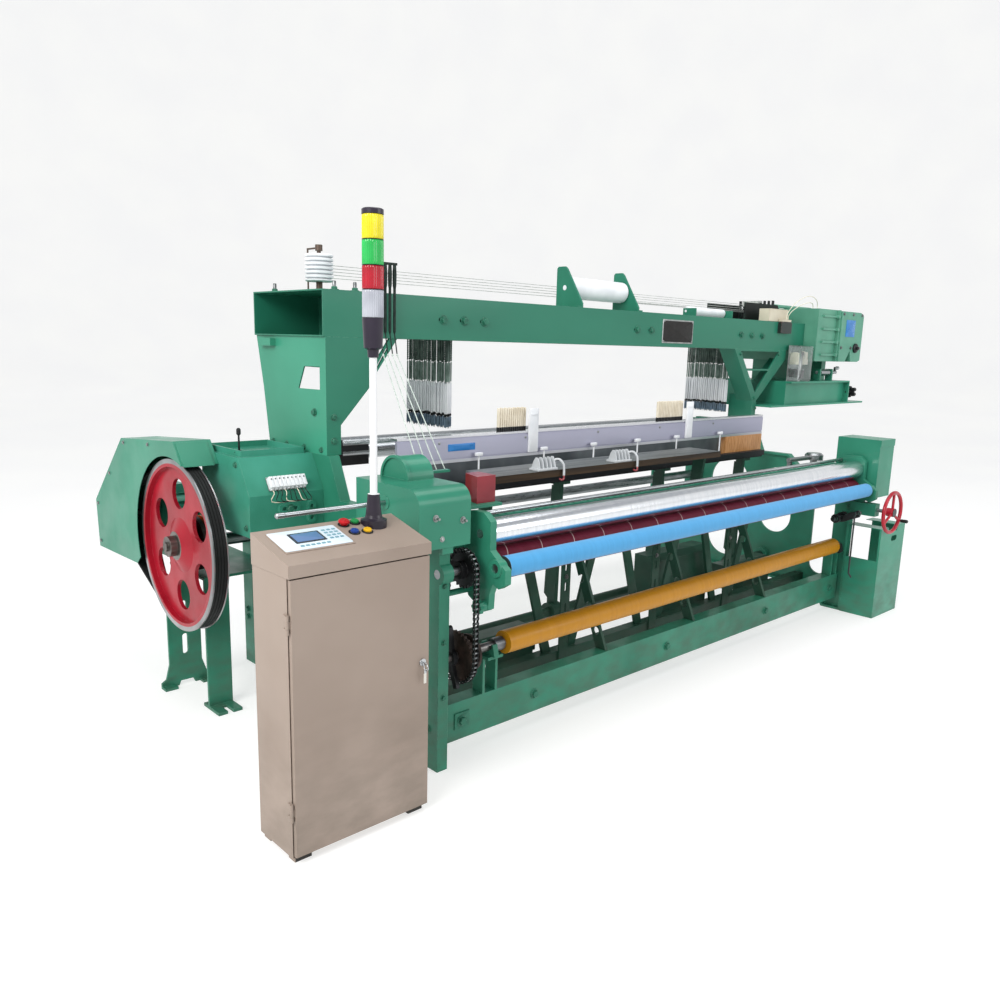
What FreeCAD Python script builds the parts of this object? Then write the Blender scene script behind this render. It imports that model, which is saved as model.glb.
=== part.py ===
import FreeCAD
import Part
import math
import os

# Rapier power loom, in millimetres, as one STEP file per piece.
# X runs along the loom to the dobby side, Y from the weaver towards the warp, Z up.
# Pieces are drawn from the outer front foot of the left side frame, and all of them are
# moved together at the end, so that the origin is the middle of the footprint on the floor.

V = FreeCAD.Vector

# ---- driving dimensions ------------------------------------------------------------
WIDTH = 3360.0            # outside to outside of the two side frames
FRAME_DEPTH = 1520.0      # front rail face to the rear edge of a side frame
FRONT_SETBACK = 40.0      # front flange of a side frame, ahead of the rail face
SHELF_Z = 890.0           # top of a side frame at the weaver's end
SEAT_Z = 1140.0           # top of a side frame under a column
FLANGE = 50.0             # width of a side frame's flange
WEB = 14.0                # casting wall
RAIL_LOW, RAIL_HIGH = 80.0, 240.0
RAIL_DEPTH = 70.0
SHEET = 6.0               # plate of columns and beam
COVER_SHEET = 3.0         # thin covers
RUN = 0.05                # radial running clearance of a shaft in its bore
BOSS_WALL = 22.0          # wall of a cast boss around its bore
GAP = 0.3                 # clearance between pieces that must not touch
BEAM_Z, BEAM_H = 1630.0, 190.0
BEAM_Y, BEAM_T = 717.0, 120.0
BEAM_REAR_Y = 1305.0
BEAM_LEFT, BEAM_RIGHT = -10.0, WIDTH + 570.0
MAIN_Y, MAIN_Z, MAIN_R = 1150.0, 738.0, 28.0
WHEEL_R, WHEEL_X, WHEEL_W = 372.0, -485.0, 65.0
MOTOR_Y, MOTOR_Z, MOTOR_PULLEY_R = 1850.0, 760.0, 72.0
SLEY_Y, SLEY_Z, SLEY_R = 560.0, 250.0, 28.0
BACK_Y, BACK_Z, BACK_R = 1450.0, 1060.0, 60.0
SPINDLE_R = 18.0          # journals of the cloth path rollers
BREAST_Y, BREAST_Z, BREAST_R = -40.0, 915.0, 54.0
PRESS_Y, PRESS_Z, PRESS_R = -135.0, 800.0, 41.5
TAKE_R, TAKE_Z = 68.0, 785.0
CLOTH_Y, CLOTH_Z, CLOTH_R = 0.0, 435.0, 47.5
BRACKET_LEFT, BRACKET_RIGHT, BRACKET_T = 195.0, WIDTH - FLANGE, 30.0
SPROCKET_R, LOWER_SPROCKET_R, SPROCKET_X = 72.0, 100.0, 120.0
CAB_LEFT, CAB_RIGHT, CAB_FRONT, CAB_BACK = -712.0, -190.0, -210.0, 0.0
CAB_FRONT_H, CAB_BACK_H, CAB_FOOT = 977.0, 1032.0, 20.0
LID_SKIRT = 45.0
LAMP_X, LAMP_Y, LAMP_R = -297.0, -55.0, 35.0
DOBBY_LEFT, DOBBY_MID, DOBBY_RIGHT = BEAM_RIGHT, BEAM_RIGHT + 295, BEAM_RIGHT + 710
DOBBY_Y0, DOBBY_Y1, DOBBY_Z0, DOBBY_Z1 = 600.0, 1230.0, BEAM_Z - 70, BEAM_Z + 295
TABLE_Z = DOBBY_Z0 - 140
TABLE_DROP = 170.0
HAND_X, HAND_Y, HAND_Z, HAND_R = WIDTH - 32, -290.0, 680.0, 122.0
LINE_COUNT, LINE_PITCH, LINE_Y, LINE_Z = 5, 27.0, 991.0, BEAM_Z + BEAM_H + 64
JACK_X, JACK_Z = BEAM_RIGHT - 140, BEAM_Z + BEAM_H + 32

# take-up roller nips the press roller and lies behind it
TAKE_Y = PRESS_Y + math.sqrt((PRESS_R + TAKE_R + GAP) ** 2 - (PRESS_Z - TAKE_Z) ** 2)
RIGHT_IN = WIDTH - FLANGE
BEAM_TOP = BEAM_Z + BEAM_H
LID_SLOPE = (CAB_BACK_H - CAB_FRONT_H) / (CAB_BACK - CAB_FRONT)
LID_TILT = math.atan(LID_SLOPE)


# ---- shape helpers -----------------------------------------------------------------
def box(x0, x1, y0, y1, z0, z1):
    return Part.makeBox(x1 - x0, y1 - y0, z1 - z0, V(x0, y0, z0))


AXES = {"X": V(1, 0, 0), "Y": V(0, 1, 0), "Z": V(0, 0, 1)}


def rod(axis, start, radius, length, bore=0.0):
    """Cylinder along an axis from its start point, with an optional bore."""
    body = Part.makeCylinder(radius, length, V(*start), AXES[axis])
    if bore:
        body = body.cut(Part.makeCylinder(bore, length, V(*start), AXES[axis]))
    return body


def on_plane(axis, a, b, along):
    """Point of a section: X sections hold (y, z), Y sections (x, z), Z sections (x, y)."""
    return {"X": V(along, a, b), "Y": V(a, along, b), "Z": V(a, b, along)}[axis]


def prism(axis, points, low, high):
    corners = [on_plane(axis, a, b, low) for a, b in points]
    face = Part.Face(Part.makePolygon(corners + corners[:1]))
    return face.extrude(AXES[axis] * (high - low))


def turned(axis, start, steps):
    """Body of revolution: steps are (distance along the axis, radius)."""
    far = steps[-1][0]
    outline = [(steps[0][0], 0.0)] + list(steps) + [(far, 0.0)]
    pts = [V(r, 0, d) for d, r in outline]
    face = Part.Face(Part.makePolygon(pts + pts[:1]))
    body = face.revolve(V(0, 0, 0), V(0, 0, 1), 360)
    body.Placement = FreeCAD.Placement(V(*start), FreeCAD.Rotation(V(0, 0, 1), AXES[axis]))
    return body


def slot(axis, a, b, length, width, low, high, upright=False):
    """Round-ended slot centred on (a, b) of a section plane."""
    half = (length - width) / 2.0
    da, db = (0.0, half) if upright else (half, 0.0)
    r = width / 2.0
    ends = [rod(axis, tuple(on_plane(axis, a + s * da, b + s * db, low)), r, high - low) for s in (-1, 1)]
    wa, wb = (r, half) if upright else (half, r)
    corners = [(a - wa, b - wb), (a + wa, b - wb), (a + wa, b + wb), (a - wa, b + wb)]
    return ends[0].fuse([ends[1], prism(axis, corners, low, high)])


def fuse(parts):
    return parts[0].multiFuse(parts[1:]).removeSplitter() if len(parts) > 1 else parts[0]


def group(parts):
    return Part.makeCompound(parts)


def bored(body, axis, centre, radius, low, high):
    """Body with a round hole along an axis through a point of its section plane."""
    start = tuple(on_plane(axis, centre[0], centre[1], low))
    return body.cut(rod(axis, start, radius, high - low))


def around_two(x0, x1, first, second):
    """Prism of the outline drawn tight around two circles (y, z, r) of the YZ plane."""
    y1, z1, r1 = first
    y2, z2, r2 = second
    along = math.atan2(z2 - z1, y2 - y1)
    apart = math.hypot(y2 - y1, z2 - z1)
    lean = math.acos((r1 - r2) / apart)

    def at(circle, angle):
        return V(x0, circle[0] + circle[2] * math.cos(angle), circle[1] + circle[2] * math.sin(angle))

    a1, a2 = at(first, along + lean), at(first, along - lean)
    b1, b2 = at(second, along + lean), at(second, along - lean)
    edges = [Part.Arc(a1, at(first, along + math.pi), a2).toShape(), Part.makeLine(a2, b2),
             Part.Arc(b2, at(second, along), b1).toShape(), Part.makeLine(b1, a1)]
    return Part.Face(Part.Wire(edges)).extrude(V(x1 - x0, 0, 0))


def loop(x0, x1, first, second, thick):
    inner = around_two(x0, x1, first, second)
    outer = around_two(x0, x1, (first[0], first[1], first[2] + thick), (second[0], second[1], second[2] + thick))
    return outer.cut(inner)


def tube_along(points, radius):
    """Cable on straight runs joined by tangent arcs, and the radii of its bends."""
    pts = [V(*p) for p in points]
    edges, radii, last = [], [], pts[0]
    for before, here, after in zip(pts, pts[1:], pts[2:]):
        run_in, run_out = here - before, after - here
        half = run_in.getAngle(run_out) / 2.0
        reach = 0.45 * min(run_in.Length, run_out.Length)
        u_in, u_out = V(run_in).normalize(), V(run_out).normalize()
        start, end = here - u_in * reach, here + u_out * reach
        bend = reach / math.tan(half)
        radii.append(round(bend, 1))
        inward = V(u_out - u_in).normalize()
        centre = here + inward * (reach / math.sin(half))
        middle = centre - inward * bend
        edges.append(Part.LineSegment(last, start).toShape())
        edges.append(Part.Arc(start, middle, end).toShape())
        last = end
    edges.append(Part.LineSegment(last, pts[-1]).toShape())
    path = Part.Wire(edges)
    section = Part.Wire(Part.Circle(pts[0], pts[1] - pts[0], radius).toShape())
    body = path.makePipeShell([section], True, False)
    print("cable", round(path.Length), "mm, bends", min(radii), "to", max(radii))
    return body


def straight(a, b, radius):
    start, end = V(*a), V(*b)
    return Part.makeCylinder(radius, (end - start).Length, start, end - start)


# ---- side frames, rails and inner frame ----------------------------------------------
def side_frame(outer, inward):
    """Cast side frame: a web at the outside, a flange all round, and bored bosses."""
    front, back = -FRONT_SETBACK, FRAME_DEPTH
    shoulder = FRAME_DEPTH - 190
    outline = [(front, 0), (90, 0), (160, 110), (back - 190, 110), (back - 120, 0), (back, 0),
               (back, 980), (shoulder, 980), (1210, SEAT_Z), (700, SEAT_Z), (620, 960),
               (420, 960), (345, SHELF_Z), (front, SHELF_Z)]
    low, high = sorted((outer, outer + inward * FLANGE))
    web_low, web_high = sorted((outer, outer + inward * WEB))
    body = prism("X", outline, low, high)
    wire = Part.makePolygon([V(0, y, z) for y, z in outline + outline[:1]])
    inset = wire.makeOffset2D(-WEB, 2)
    hollow = Part.Face(inset).extrude(V(FLANGE - WEB, 0, 0))
    hollow.translate(V(outer + inward * WEB if inward > 0 else low, 0, 0))
    body = body.cut(hollow)
    lug = prism("X", [(BACK_Y - 60, 980), (BACK_Y + 60, 980), (BACK_Y + 40, BACK_Z + 20),
                      (BACK_Y + 15, BACK_Z + 45), (BACK_Y - 15, BACK_Z + 45), (BACK_Y - 40, BACK_Z + 20)],
                web_low, web_high)
    bearings = ((MAIN_Y, MAIN_Z, MAIN_R), (SLEY_Y, SLEY_Z, SLEY_R), (TAKE_Y, TAKE_Z, SPINDLE_R))
    bosses = [rod("X", (low, y, z), r + BOSS_WALL, FLANGE) for y, z, r in bearings]
    body = fuse([body, lug] + bosses)
    windows = [(80, 220, 200, 820), (380, 610, 420, 860), (720, 1010, 190, 880), (1240, 1430, 200, 880)]
    cuts = []
    for y0, y1, z0, z1 in windows:
        cuts.append(slot("X", (y0 + y1) / 2, (z0 + z1) / 2, z1 - z0, y1 - y0, web_low, web_high, upright=True))
    for y, z, r in bearings + ((BACK_Y, BACK_Z, SPINDLE_R),):
        cuts.append(rod("X", (low - 1, y, z), r + RUN, FLANGE + 2))
    return body.cut(cuts)


RAIL_BOLT_X = (150, 560, 1500, WIDTH - 920, WIDTH - 150)


def front_rail():
    x0, x1 = FLANGE, RIGHT_IN
    outer = box(x0, x1, 0, RAIL_DEPTH, RAIL_LOW, RAIL_HIGH)
    inner = box(x0, x1, 10, RAIL_DEPTH, RAIL_LOW + 10, RAIL_HIGH - 10)
    ends = [box(x, x + 10, 0, RAIL_DEPTH, RAIL_LOW, RAIL_HIGH) for x in (x0, x1 - 10)]
    rail = fuse([outer.cut(inner)] + ends)
    holes = [rod("Y", (x, -1, (RAIL_LOW + RAIL_HIGH) / 2), 8.5, 12) for x in RAIL_BOLT_X]
    return rail.cut(holes)


GIRT_Y0, GIRT_Y1 = 250.0, 310.0
GIRT_LOW, GIRT_HIGH = (125.0, 185.0), (680.0, 740.0)
POST_X = (1000.0, 1700.0, WIDTH - 960)
RAIL_ARM_X = (620.0, 1340.0, WIDTH - 1240, WIDTH - 520)
TEMPLE_Y, TEMPLE_Z, TEMPLE_END, TEMPLE_DEPTH = 150.0, 1088.0, WIDTH - 1280, 195.0
HOLE_RAIL_Y, HOLE_RAIL_Z, HOLE_PITCH = 78.0, 938.0, 46.0


def inner_frame():
    """Cross girts, slotted posts with braces, the rear rail and the drive box between them."""
    parts = []
    for z0, z1 in (GIRT_LOW, GIRT_HIGH):
        tube = box(WEB, WIDTH - WEB, GIRT_Y0, GIRT_Y1, z0, z1)
        parts.append(tube.cut(box(WEB, WIDTH - WEB, GIRT_Y0 + 6, GIRT_Y1 - 6, z0 + 6, z1 - 6)))
    for x in POST_X:
        post = box(x - 30, x + 30, GIRT_Y0 - 8, GIRT_Y0, GIRT_LOW[0], GIRT_HIGH[1])
        slots = [slot("Y", x, z, 46, 14, GIRT_Y0 - 9, GIRT_Y0 + 1, upright=True) for z in (300, 400, 500, 600)]
        parts.append(post.cut(slots))
        for side in (-1, 1):
            lean = [(x + side * 60, GIRT_LOW[1]), (x + side * 112, GIRT_LOW[1]),
                    (x + side * 262, GIRT_HIGH[0]), (x + side * 210, GIRT_HIGH[0])]
            parts.append(prism("Y", lean, GIRT_Y0 + 20, GIRT_Y0 + 36))
        strut = [(10, RAIL_HIGH), (RAIL_DEPTH, RAIL_HIGH), (GIRT_Y0 - 8, GIRT_HIGH[0] - 10),
                 (GIRT_Y0 - 8, GIRT_HIGH[0] + 50), (GIRT_Y0 - 30, GIRT_HIGH[0] + 50)]
        plate = prism("X", strut, x + 34, x + 50)
        plate = plate.cut([rod("X", (x + 33, y, z), 20, 18) for y, z in ((75, 320), (125, 430), (180, 550))])
        tab = box(x + 30, x + 34, GIRT_Y0 - 60, GIRT_Y0 - 8, GIRT_HIGH[0] - 40, GIRT_HIGH[0])
        parts.append(fuse([plate, tab, box(x + 30, x + 50, GIRT_Y0 - 8, GIRT_Y0, GIRT_HIGH[0] - 40, GIRT_HIGH[0])]))
    for x0, x1, z0, z1 in ((560, 900, 185, 300), (WIDTH - 1570, WIDTH - 1030, 250, 505), (WIDTH - 800, WIDTH - 320, 185, 330)):
        cover = box(x0, x1, GIRT_Y0 + 84, GIRT_Y0 + 205, z0, z1)
        bevel = prism("X", [(GIRT_Y0 + 83, z1 + 1), (GIRT_Y0 + 83, z1 - 30), (GIRT_Y0 + 115, z1 + 1)], x0 - 1, x1 + 1)
        low = GIRT_LOW[0] if z0 > GIRT_LOW[1] else z0 - 40
        foot = box(x0 + 40, x1 - 40, GIRT_Y1, GIRT_Y0 + 84, z0, z0 + 40)
        parts.append(fuse([cover.cut(bevel), foot, box(x0 + 40, x1 - 40, GIRT_Y1, GIRT_Y1 + 8, low, z0 + 40)]))
    rear = box(FLANGE, RIGHT_IN, FRAME_DEPTH - 70, FRAME_DEPTH, 200, 360)
    parts.append(rear.cut(box(FLANGE, RIGHT_IN, FRAME_DEPTH - 60, FRAME_DEPTH, 210, 350)))
    arm_x = TEMPLE_END - 50
    arm = [(GIRT_Y0, GIRT_HIGH[1]), (GIRT_Y1, GIRT_HIGH[1]), (TEMPLE_Y + 130, TEMPLE_Z - 12),
           (TEMPLE_Y + 60, TEMPLE_Z - 12)]
    parts += [prism("X", arm, x, x + 20) for x in (480, arm_x)]
    for x in RAIL_ARM_X:
        web = [(GIRT_Y0, GIRT_HIGH[0] + 10), (GIRT_Y0, GIRT_HIGH[1]), (HOLE_RAIL_Y + 34, HOLE_RAIL_Z + 4),
               (HOLE_RAIL_Y + 34, HOLE_RAIL_Z - 34)]
        parts.append(prism("X", web, x, x + 12))
    return group(parts)


# ---- columns and top beam ------------------------------------------------------------
COLUMN_T = 64.0


def left_column():
    """Folded box column with a widened head, a window and a gusset towards the beam."""
    y0, z0, z1 = BEAM_Y, SEAT_Z, BEAM_Z
    side = [(y0, z0), (y0, z1), (BEAM_REAR_Y, z1), (1250, z1 - 230), (1205, z0)]
    window = [(765, z1 - 218), (940, z1 - 220), (890, z1 - 125), (765, z1 - 123)]
    outer = prism("X", side, 0, SHEET).cut(prism("X", window, 0, SHEET))
    inner = prism("X", side, COLUMN_T, COLUMN_T + SHEET)
    inner = inner.cut(box(COLUMN_T, COLUMN_T + SHEET, 850, 1100, z1 - 340, z1 - 130))
    face = [(0, z0), (COLUMN_T + SHEET, z0), (COLUMN_T + SHEET, z1 - 365), (215, z1 - 210), (215, z1), (0, z1)]
    front = prism("Y", face, y0, y0 + SHEET)
    back_edge = [(1205, z0), (1250, z1 - 230), (BEAM_REAR_Y, z1), (BEAM_REAR_Y - SHEET, z1),
                 (1250 - SHEET, z1 - 230), (1205 - SHEET, z0)]
    back = prism("X", back_edge, 0, COLUMN_T + SHEET)
    base = box(0, FLANGE, y0, 1205, z0, z0 + 12)
    head = box(0, 215, y0, 850, z1 - SHEET, z1)
    ear = box(-28, 0, 1130, 1240, z1 - 45, z1 - 12)
    return fuse([outer, inner, front, back, base, head, ear])


def right_column():
    """Y-shaped column: a channel stem, two arms and two cross bars, with a deep outer flange."""
    x0, x1, y0 = RIGHT_IN, WIDTH, BEAM_Y
    depth, stem_depth = BEAM_T, 180.0
    knee, top = BEAM_Z - 300, BEAM_Z
    left, right = x0 - 260, x1 + 340
    stem = box(x0, x1, y0, y0 + stem_depth, SEAT_Z, knee)
    stem = stem.cut(box(x0 + 10, x1 - 10, y0 + 12, y0 + stem_depth, SEAT_Z, knee))
    left_arm = prism("Y", [(x0, knee - 40), (x0 + 36, knee), (left + 60, top), (left, top)], y0, y0 + 12)
    right_arm = prism("Y", [(x1 - 36, knee), (x1, knee - 40), (right, top - 60), (right, top), (right - 80, top)], y0, y0 + 12)
    crossing = prism("Y", [(x0, knee - 42), (x1, knee - 42), (x1, knee + 16), (x0, knee + 16)], y0, y0 + 12)
    bars = [box(left + 30, right, y0, y0 + depth, top - 12, top), box(x0 - 115, x1 + 160, y0, y0 + 90, top - 140, top - 128)]
    edge = box(x1 - 10, x1, y0, y0 + depth, knee - 52, knee)
    slope = prism("Y", [(x1, knee - 40), (x1 - 8, knee - 33), (right - 8, top - 56), (right, top - 60)], y0, y0 + depth)
    inner = prism("Y", [(x0, knee - 40), (x0 + 8, knee - 36), (left + 8, top), (left, top)], y0, y0 + depth)
    foot = box(x0, x1, y0, y0 + 440, SEAT_Z, SEAT_Z + 12)
    return fuse([stem, left_arm, right_arm, crossing, edge, slope, inner, foot] + bars)


def box_tube(x0, x1, y0, y1, z0, z1, wall):
    return box(x0, x1, y0, y1, z0, z1).cut(box(x0, x1, y0 + wall, y1 - wall, z0 + wall, z1 - wall))


BEAM_BOLTS = (620.0, 745.0, 870.0, 2030.0, 2160.0, WIDTH - 250, WIDTH - 120, WIDTH + 10)
BEAM_BOLT_Z = BEAM_Z + 90
END_BOX = 330.0


def top_beam():
    """Welded gantry: front and rear box beams joined by a wide box at each end."""
    y0, y1 = BEAM_Y, BEAM_REAR_Y
    front = box_tube(BEAM_LEFT, BEAM_RIGHT, y0, y0 + BEAM_T, BEAM_Z, BEAM_TOP, SHEET)
    rear = box_tube(BEAM_LEFT, BEAM_RIGHT, y1 - BEAM_T, y1, BEAM_Z, BEAM_TOP, SHEET)
    left = box_tube(BEAM_LEFT, END_BOX, y0, y1, BEAM_Z, BEAM_TOP, SHEET)
    clear = box(BEAM_LEFT, END_BOX - SHEET, y0 + SHEET, y1 - SHEET, BEAM_Z + SHEET, BEAM_TOP - SHEET)
    right = box_tube(BEAM_RIGHT - END_BOX, BEAM_RIGHT, y0 + BEAM_T - SHEET, y1 - BEAM_T + SHEET, BEAM_Z, BEAM_TOP, SHEET)
    stop = box(END_BOX - SHEET, END_BOX, y0, y1, BEAM_Z, BEAM_TOP)
    body = fuse([front, rear, left, right]).cut(clear)
    body = fuse([body, stop])
    slots = [slot("Y", x - 8, BEAM_BOLT_Z, 40, 15, y0 - 1, y0 + SHEET + 1) for x in BEAM_BOLTS]
    return body.cut(slots)


GUIDE_Y, GUIDE_Z, GUIDE_R, GUIDE_PIN = 850.0, BEAM_TOP + 104, 57.0, 13.2
GUIDE_X0, GUIDE_X1 = 1572.0, 2030.0
EAR_TOP, EAR_REAR = BEAM_TOP + 214, GUIDE_Y + 60
RIGHT_GUIDE = (WIDTH - 610, WIDTH - 210, 900.0, BEAM_TOP + 36, 28.0)
SPOOL_X, SPOOL_Y, SPOOL_Z, SPOOL_R = 175.0, 1045.0, BEAM_TOP + 48, 62.0
POST_R = 9.0
JACK_Y0, JACK_Y1 = 900.0, 1170.0


def beam_fittings():
    """Plates, posts and braces bolted to the beam: roller ears, spool post, jack bearings, brace."""
    ear = [(BEAM_Y + 5, BEAM_TOP), (EAR_REAR, BEAM_TOP), (EAR_REAR, EAR_TOP - 10), (EAR_REAR - 10, EAR_TOP),
           (GUIDE_Y + 2, EAR_TOP), (GUIDE_Y - 12, EAR_TOP - 12), (BEAM_Y + 5, BEAM_TOP + 22)]
    bore = GUIDE_PIN + RUN
    parts = []
    for x in (GUIDE_X0 - 14, GUIDE_X1 + 2):
        plate = prism("X", ear, x, x + 12)
        plate = plate.fuse(box(x - 30 if x < GUIDE_X0 else x, x + 12 if x < GUIDE_X0 else x + 42,
                               BEAM_Y + 5, BEAM_Y + 115, BEAM_TOP, BEAM_TOP + 8))
        parts.append(bored(plate, "X", (GUIDE_Y, GUIDE_Z), bore, x - 1, x + 13))
    x0, x1, y, z, r = RIGHT_GUIDE
    for x in (x0 - 12, x1 + 2):
        plate = box(x, x + 10, y - 75, y + 20, BEAM_TOP, z + 18)
        parts.append(bored(plate, "X", (y, z), 8 + RUN, x - 1, x + 11))
    post = turned("Z", (SPOOL_X, SPOOL_Y, BEAM_TOP), [(0, 26), (10, 26), (10, 14), (SPOOL_Z - BEAM_TOP - GAP, 14),
                                                     (SPOOL_Z - BEAM_TOP - GAP, POST_R), (180, POST_R)])
    knob = rod("Z", (SPOOL_X, SPOOL_Y, BEAM_TOP + 180), 16, 26)
    guard = [(SPOOL_X, SPOOL_Y, BEAM_TOP + 193), (SPOOL_X, SPOOL_Y + 95, BEAM_TOP + 193)]
    bar = straight(guard[0], guard[1], 4).fuse(rod("Z", (SPOOL_X, SPOOL_Y + 95, BEAM_TOP), 4, 197))
    parts.append(fuse([post, knob, bar]))
    for y in (JACK_Y0 - 24, JACK_Y1 + 2):
        plate = prism("Y", [(JACK_X - 400, BEAM_TOP), (JACK_X + 45, BEAM_TOP), (JACK_X + 45, JACK_Z + 60),
                            (JACK_X + 20, JACK_Z + 92), (JACK_X - 400, JACK_Z + 92)], y, y + 12)
        parts.append(bored(plate, "Y", (JACK_X, JACK_Z), 9 + RUN, y - 1, y + 13))
    foot, z = BEAM_Z - 205, BEAM_Z
    brace = prism("Y", [(219, foot), (219, foot + 50), (330, z), (372, z)], BEAM_Y + 14, BEAM_Y + 26)
    brace = brace.cut(prism("Y", [(240, z - 152), (246, z - 160), (322, z - 44), (316, z - 36)], BEAM_Y + 13, BEAM_Y + 27))
    brace = brace.fuse(box(215, 219, BEAM_Y, BEAM_Y + 26, foot, foot + 50))
    parts.append(brace)
    parts.append(prism("Y", [(200, z + 60), (262, z + 82), (262, z + 110), (200, z + 122)], BEAM_Y - 8, BEAM_Y))
    return group(parts)


def hex_bolt(x, y, z, shank):
    """Bolt entering towards +Y: head, washer and shank."""
    head = prism("Y", [(x + 11 * math.cos(a * math.pi / 3), z + 11 * math.sin(a * math.pi / 3)) for a in range(6)],
                 y - 11, y - 2.5)
    return fuse([head, rod("Y", (x, y - 2.5, z), 14, 2.5), rod("Y", (x, y, z), 6.5, shank)])


def frame_bolts():
    bolts = [hex_bolt(x, 0, (RAIL_LOW + RAIL_HIGH) / 2, 22) for x in RAIL_BOLT_X]
    bolts += [hex_bolt(x, BEAM_Y, BEAM_BOLT_Z, 22) for x in BEAM_BOLTS]
    return group(bolts)


# ---- sheet covers at the weaver's end --------------------------------------------------
COVER_X0, COVER_X1, COVER_Y0, COVER_Y1, COVER_Z1 = -110.0, 130.0, -60.0, 332.0, 1110.0
ROD_Y, ROD_Z, ROD_R = 143.0, 1040.0, 9.0
HOOD_Y, HOOD_R = 225.0, 84.0
FINGER_X0, FINGER_Y = 118.0, 252.0


def rounded_end(y0, y1, z0, z1, radius, x0, x1):
    """Prism along X whose upper front edge is rounded."""
    centre = (y0 + radius, z1 - radius)
    a, b = V(x0, y0, centre[1]), V(x0, centre[0], z1)
    mid = V(x0, centre[0] - radius * math.sqrt(0.5), centre[1] + radius * math.sqrt(0.5))
    edges = [Part.makeLine(V(x0, y0, z0), a), Part.Arc(a, mid, b).toShape(),
             Part.makeLine(b, V(x0, y1, z1)), Part.makeLine(V(x0, y1, z1), V(x0, y1, z0)),
             Part.makeLine(V(x0, y1, z0), V(x0, y0, z0))]
    return Part.Face(Part.Wire(edges)).extrude(V(x1 - x0, 0, 0))


def left_front_cover():
    """Rounded sheet cover, its half-round hood, the rod bush and the finger bar."""
    s = COVER_SHEET
    shell = rounded_end(COVER_Y0, COVER_Y1, SHELF_Z, COVER_Z1, 62, COVER_X0, COVER_X1)
    shell = shell.cut(rounded_end(COVER_Y0 + s, COVER_Y1 - s, SHELF_Z, COVER_Z1 - s, 62 - s, COVER_X0 + s, COVER_X1 - s))
    shell = bored(shell, "X", (ROD_Y, ROD_Z), 26, COVER_X0 - 1, COVER_X0 + s + 1)
    bush = rod("X", (COVER_X0 - 3, ROD_Y, ROD_Z), 26, 14, ROD_R + RUN)
    inner_bush = rod("X", (COVER_X1 - s - 20, ROD_Y, ROD_Z), 20, 20, ROD_R + RUN)
    ledge = box(0, FLANGE, COVER_Y0 + s, -FRONT_SETBACK, SHELF_Z - 24, SHELF_Z)
    foot = box(0, FLANGE, -FRONT_SETBACK, COVER_Y0 + s + 60, SHELF_Z, SHELF_Z + 3)
    foot = foot.fuse(box(0, FLANGE, COVER_Y0 + s, -FRONT_SETBACK, SHELF_Z, SHELF_Z + 3))
    hood = rod("X", (-4, HOOD_Y, COVER_Z1), HOOD_R, 118).cut(rod("X", (-1, HOOD_Y, COVER_Z1), HOOD_R - 3, 112))
    rim = rod("X", (-12, HOOD_Y, COVER_Z1), HOOD_R + 5, 14).cut(rod("X", (-13, HOOD_Y, COVER_Z1), HOOD_R - 6, 16))
    keep = box(-20, 140, HOOD_Y - 100, HOOD_Y + 100, COVER_Z1, COVER_Z1 + 120)
    finger = box(FINGER_X0 - 6, FINGER_X0 + 158, FINGER_Y - 12, FINGER_Y + 12, COVER_Z1, COVER_Z1 + 10)
    body = fuse([shell, inner_bush, foot, fuse([hood, rim]).common(keep), finger])
    return group([body, bush, ledge])


GEAR_X0, GEAR_Y0, GEAR_Y1, GEAR_Z0 = -340.0, 750.0, 1180.0, 822.0
LEVER_X, LEVER_Y = -300.0, 905.0


def gear_housing():
    """Cast housing on the outside of the left frame, with a sloping front and a shallow tray on top."""
    section = [(GEAR_Y0, GEAR_Z0), (GEAR_Y0, 992), (838, SEAT_Z), (GEAR_Y1, SEAT_Z), (GEAR_Y1, GEAR_Z0)]
    body = prism("X", section, GEAR_X0, 0)
    pocket = [(GEAR_Y0 + 10, GEAR_Z0 - 1), (GEAR_Y0 + 10, 988), (842, SEAT_Z - 10), (GEAR_Y1 - 10, SEAT_Z - 10),
              (GEAR_Y1 - 10, GEAR_Z0 - 1)]
    body = body.cut(prism("X", pocket, GEAR_X0 + 10, -10))
    tray = box(GEAR_X0 + 20, -30, 852, GEAR_Y1 - 8, SEAT_Z, SEAT_Z + 26)
    tray = tray.cut(box(GEAR_X0 + 26, -36, 858, GEAR_Y1 - 14, SEAT_Z, SEAT_Z + 26))
    lugs = []
    for x, z, long, wide, upright in ((-165, 930, 100, 44, False), (-62, 905, 96, 40, True)):
        lug = slot("Y", x, z, long, wide, GEAR_Y0 - 10, GEAR_Y0, upright)
        lugs.append(lug.cut(slot("Y", x, z, long - 30, 15, GEAR_Y0 - 11, GEAR_Y0 + 1, upright)))
    clevis = [box(LEVER_X + s - 4, LEVER_X + s + 4, LEVER_Y - 14, LEVER_Y + 14, SEAT_Z, SEAT_Z + 24) for s in (-10, 10)]
    body = fuse([body, tray] + lugs + clevis)
    return bored(body, "X", (LEVER_Y, SEAT_Z + 14), 4 + RUN, LEVER_X - 20, LEVER_X + 20)


def gear_lever():
    """Short hand lever on a pin between two ears."""
    z = SEAT_Z + 14
    hub = rod("X", (LEVER_X - 5.7, LEVER_Y, z), 10, 11.4)
    pin = rod("X", (LEVER_X - 16, LEVER_Y, z), 4, 32)
    arm = rod("Z", (LEVER_X, LEVER_Y, z), 4, 74)
    knob = turned("Z", (LEVER_X, LEVER_Y, z + 70), [(0, 5), (6, 9), (24, 9), (30, 5)])
    return fuse([hub, pin, arm, knob])


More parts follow.
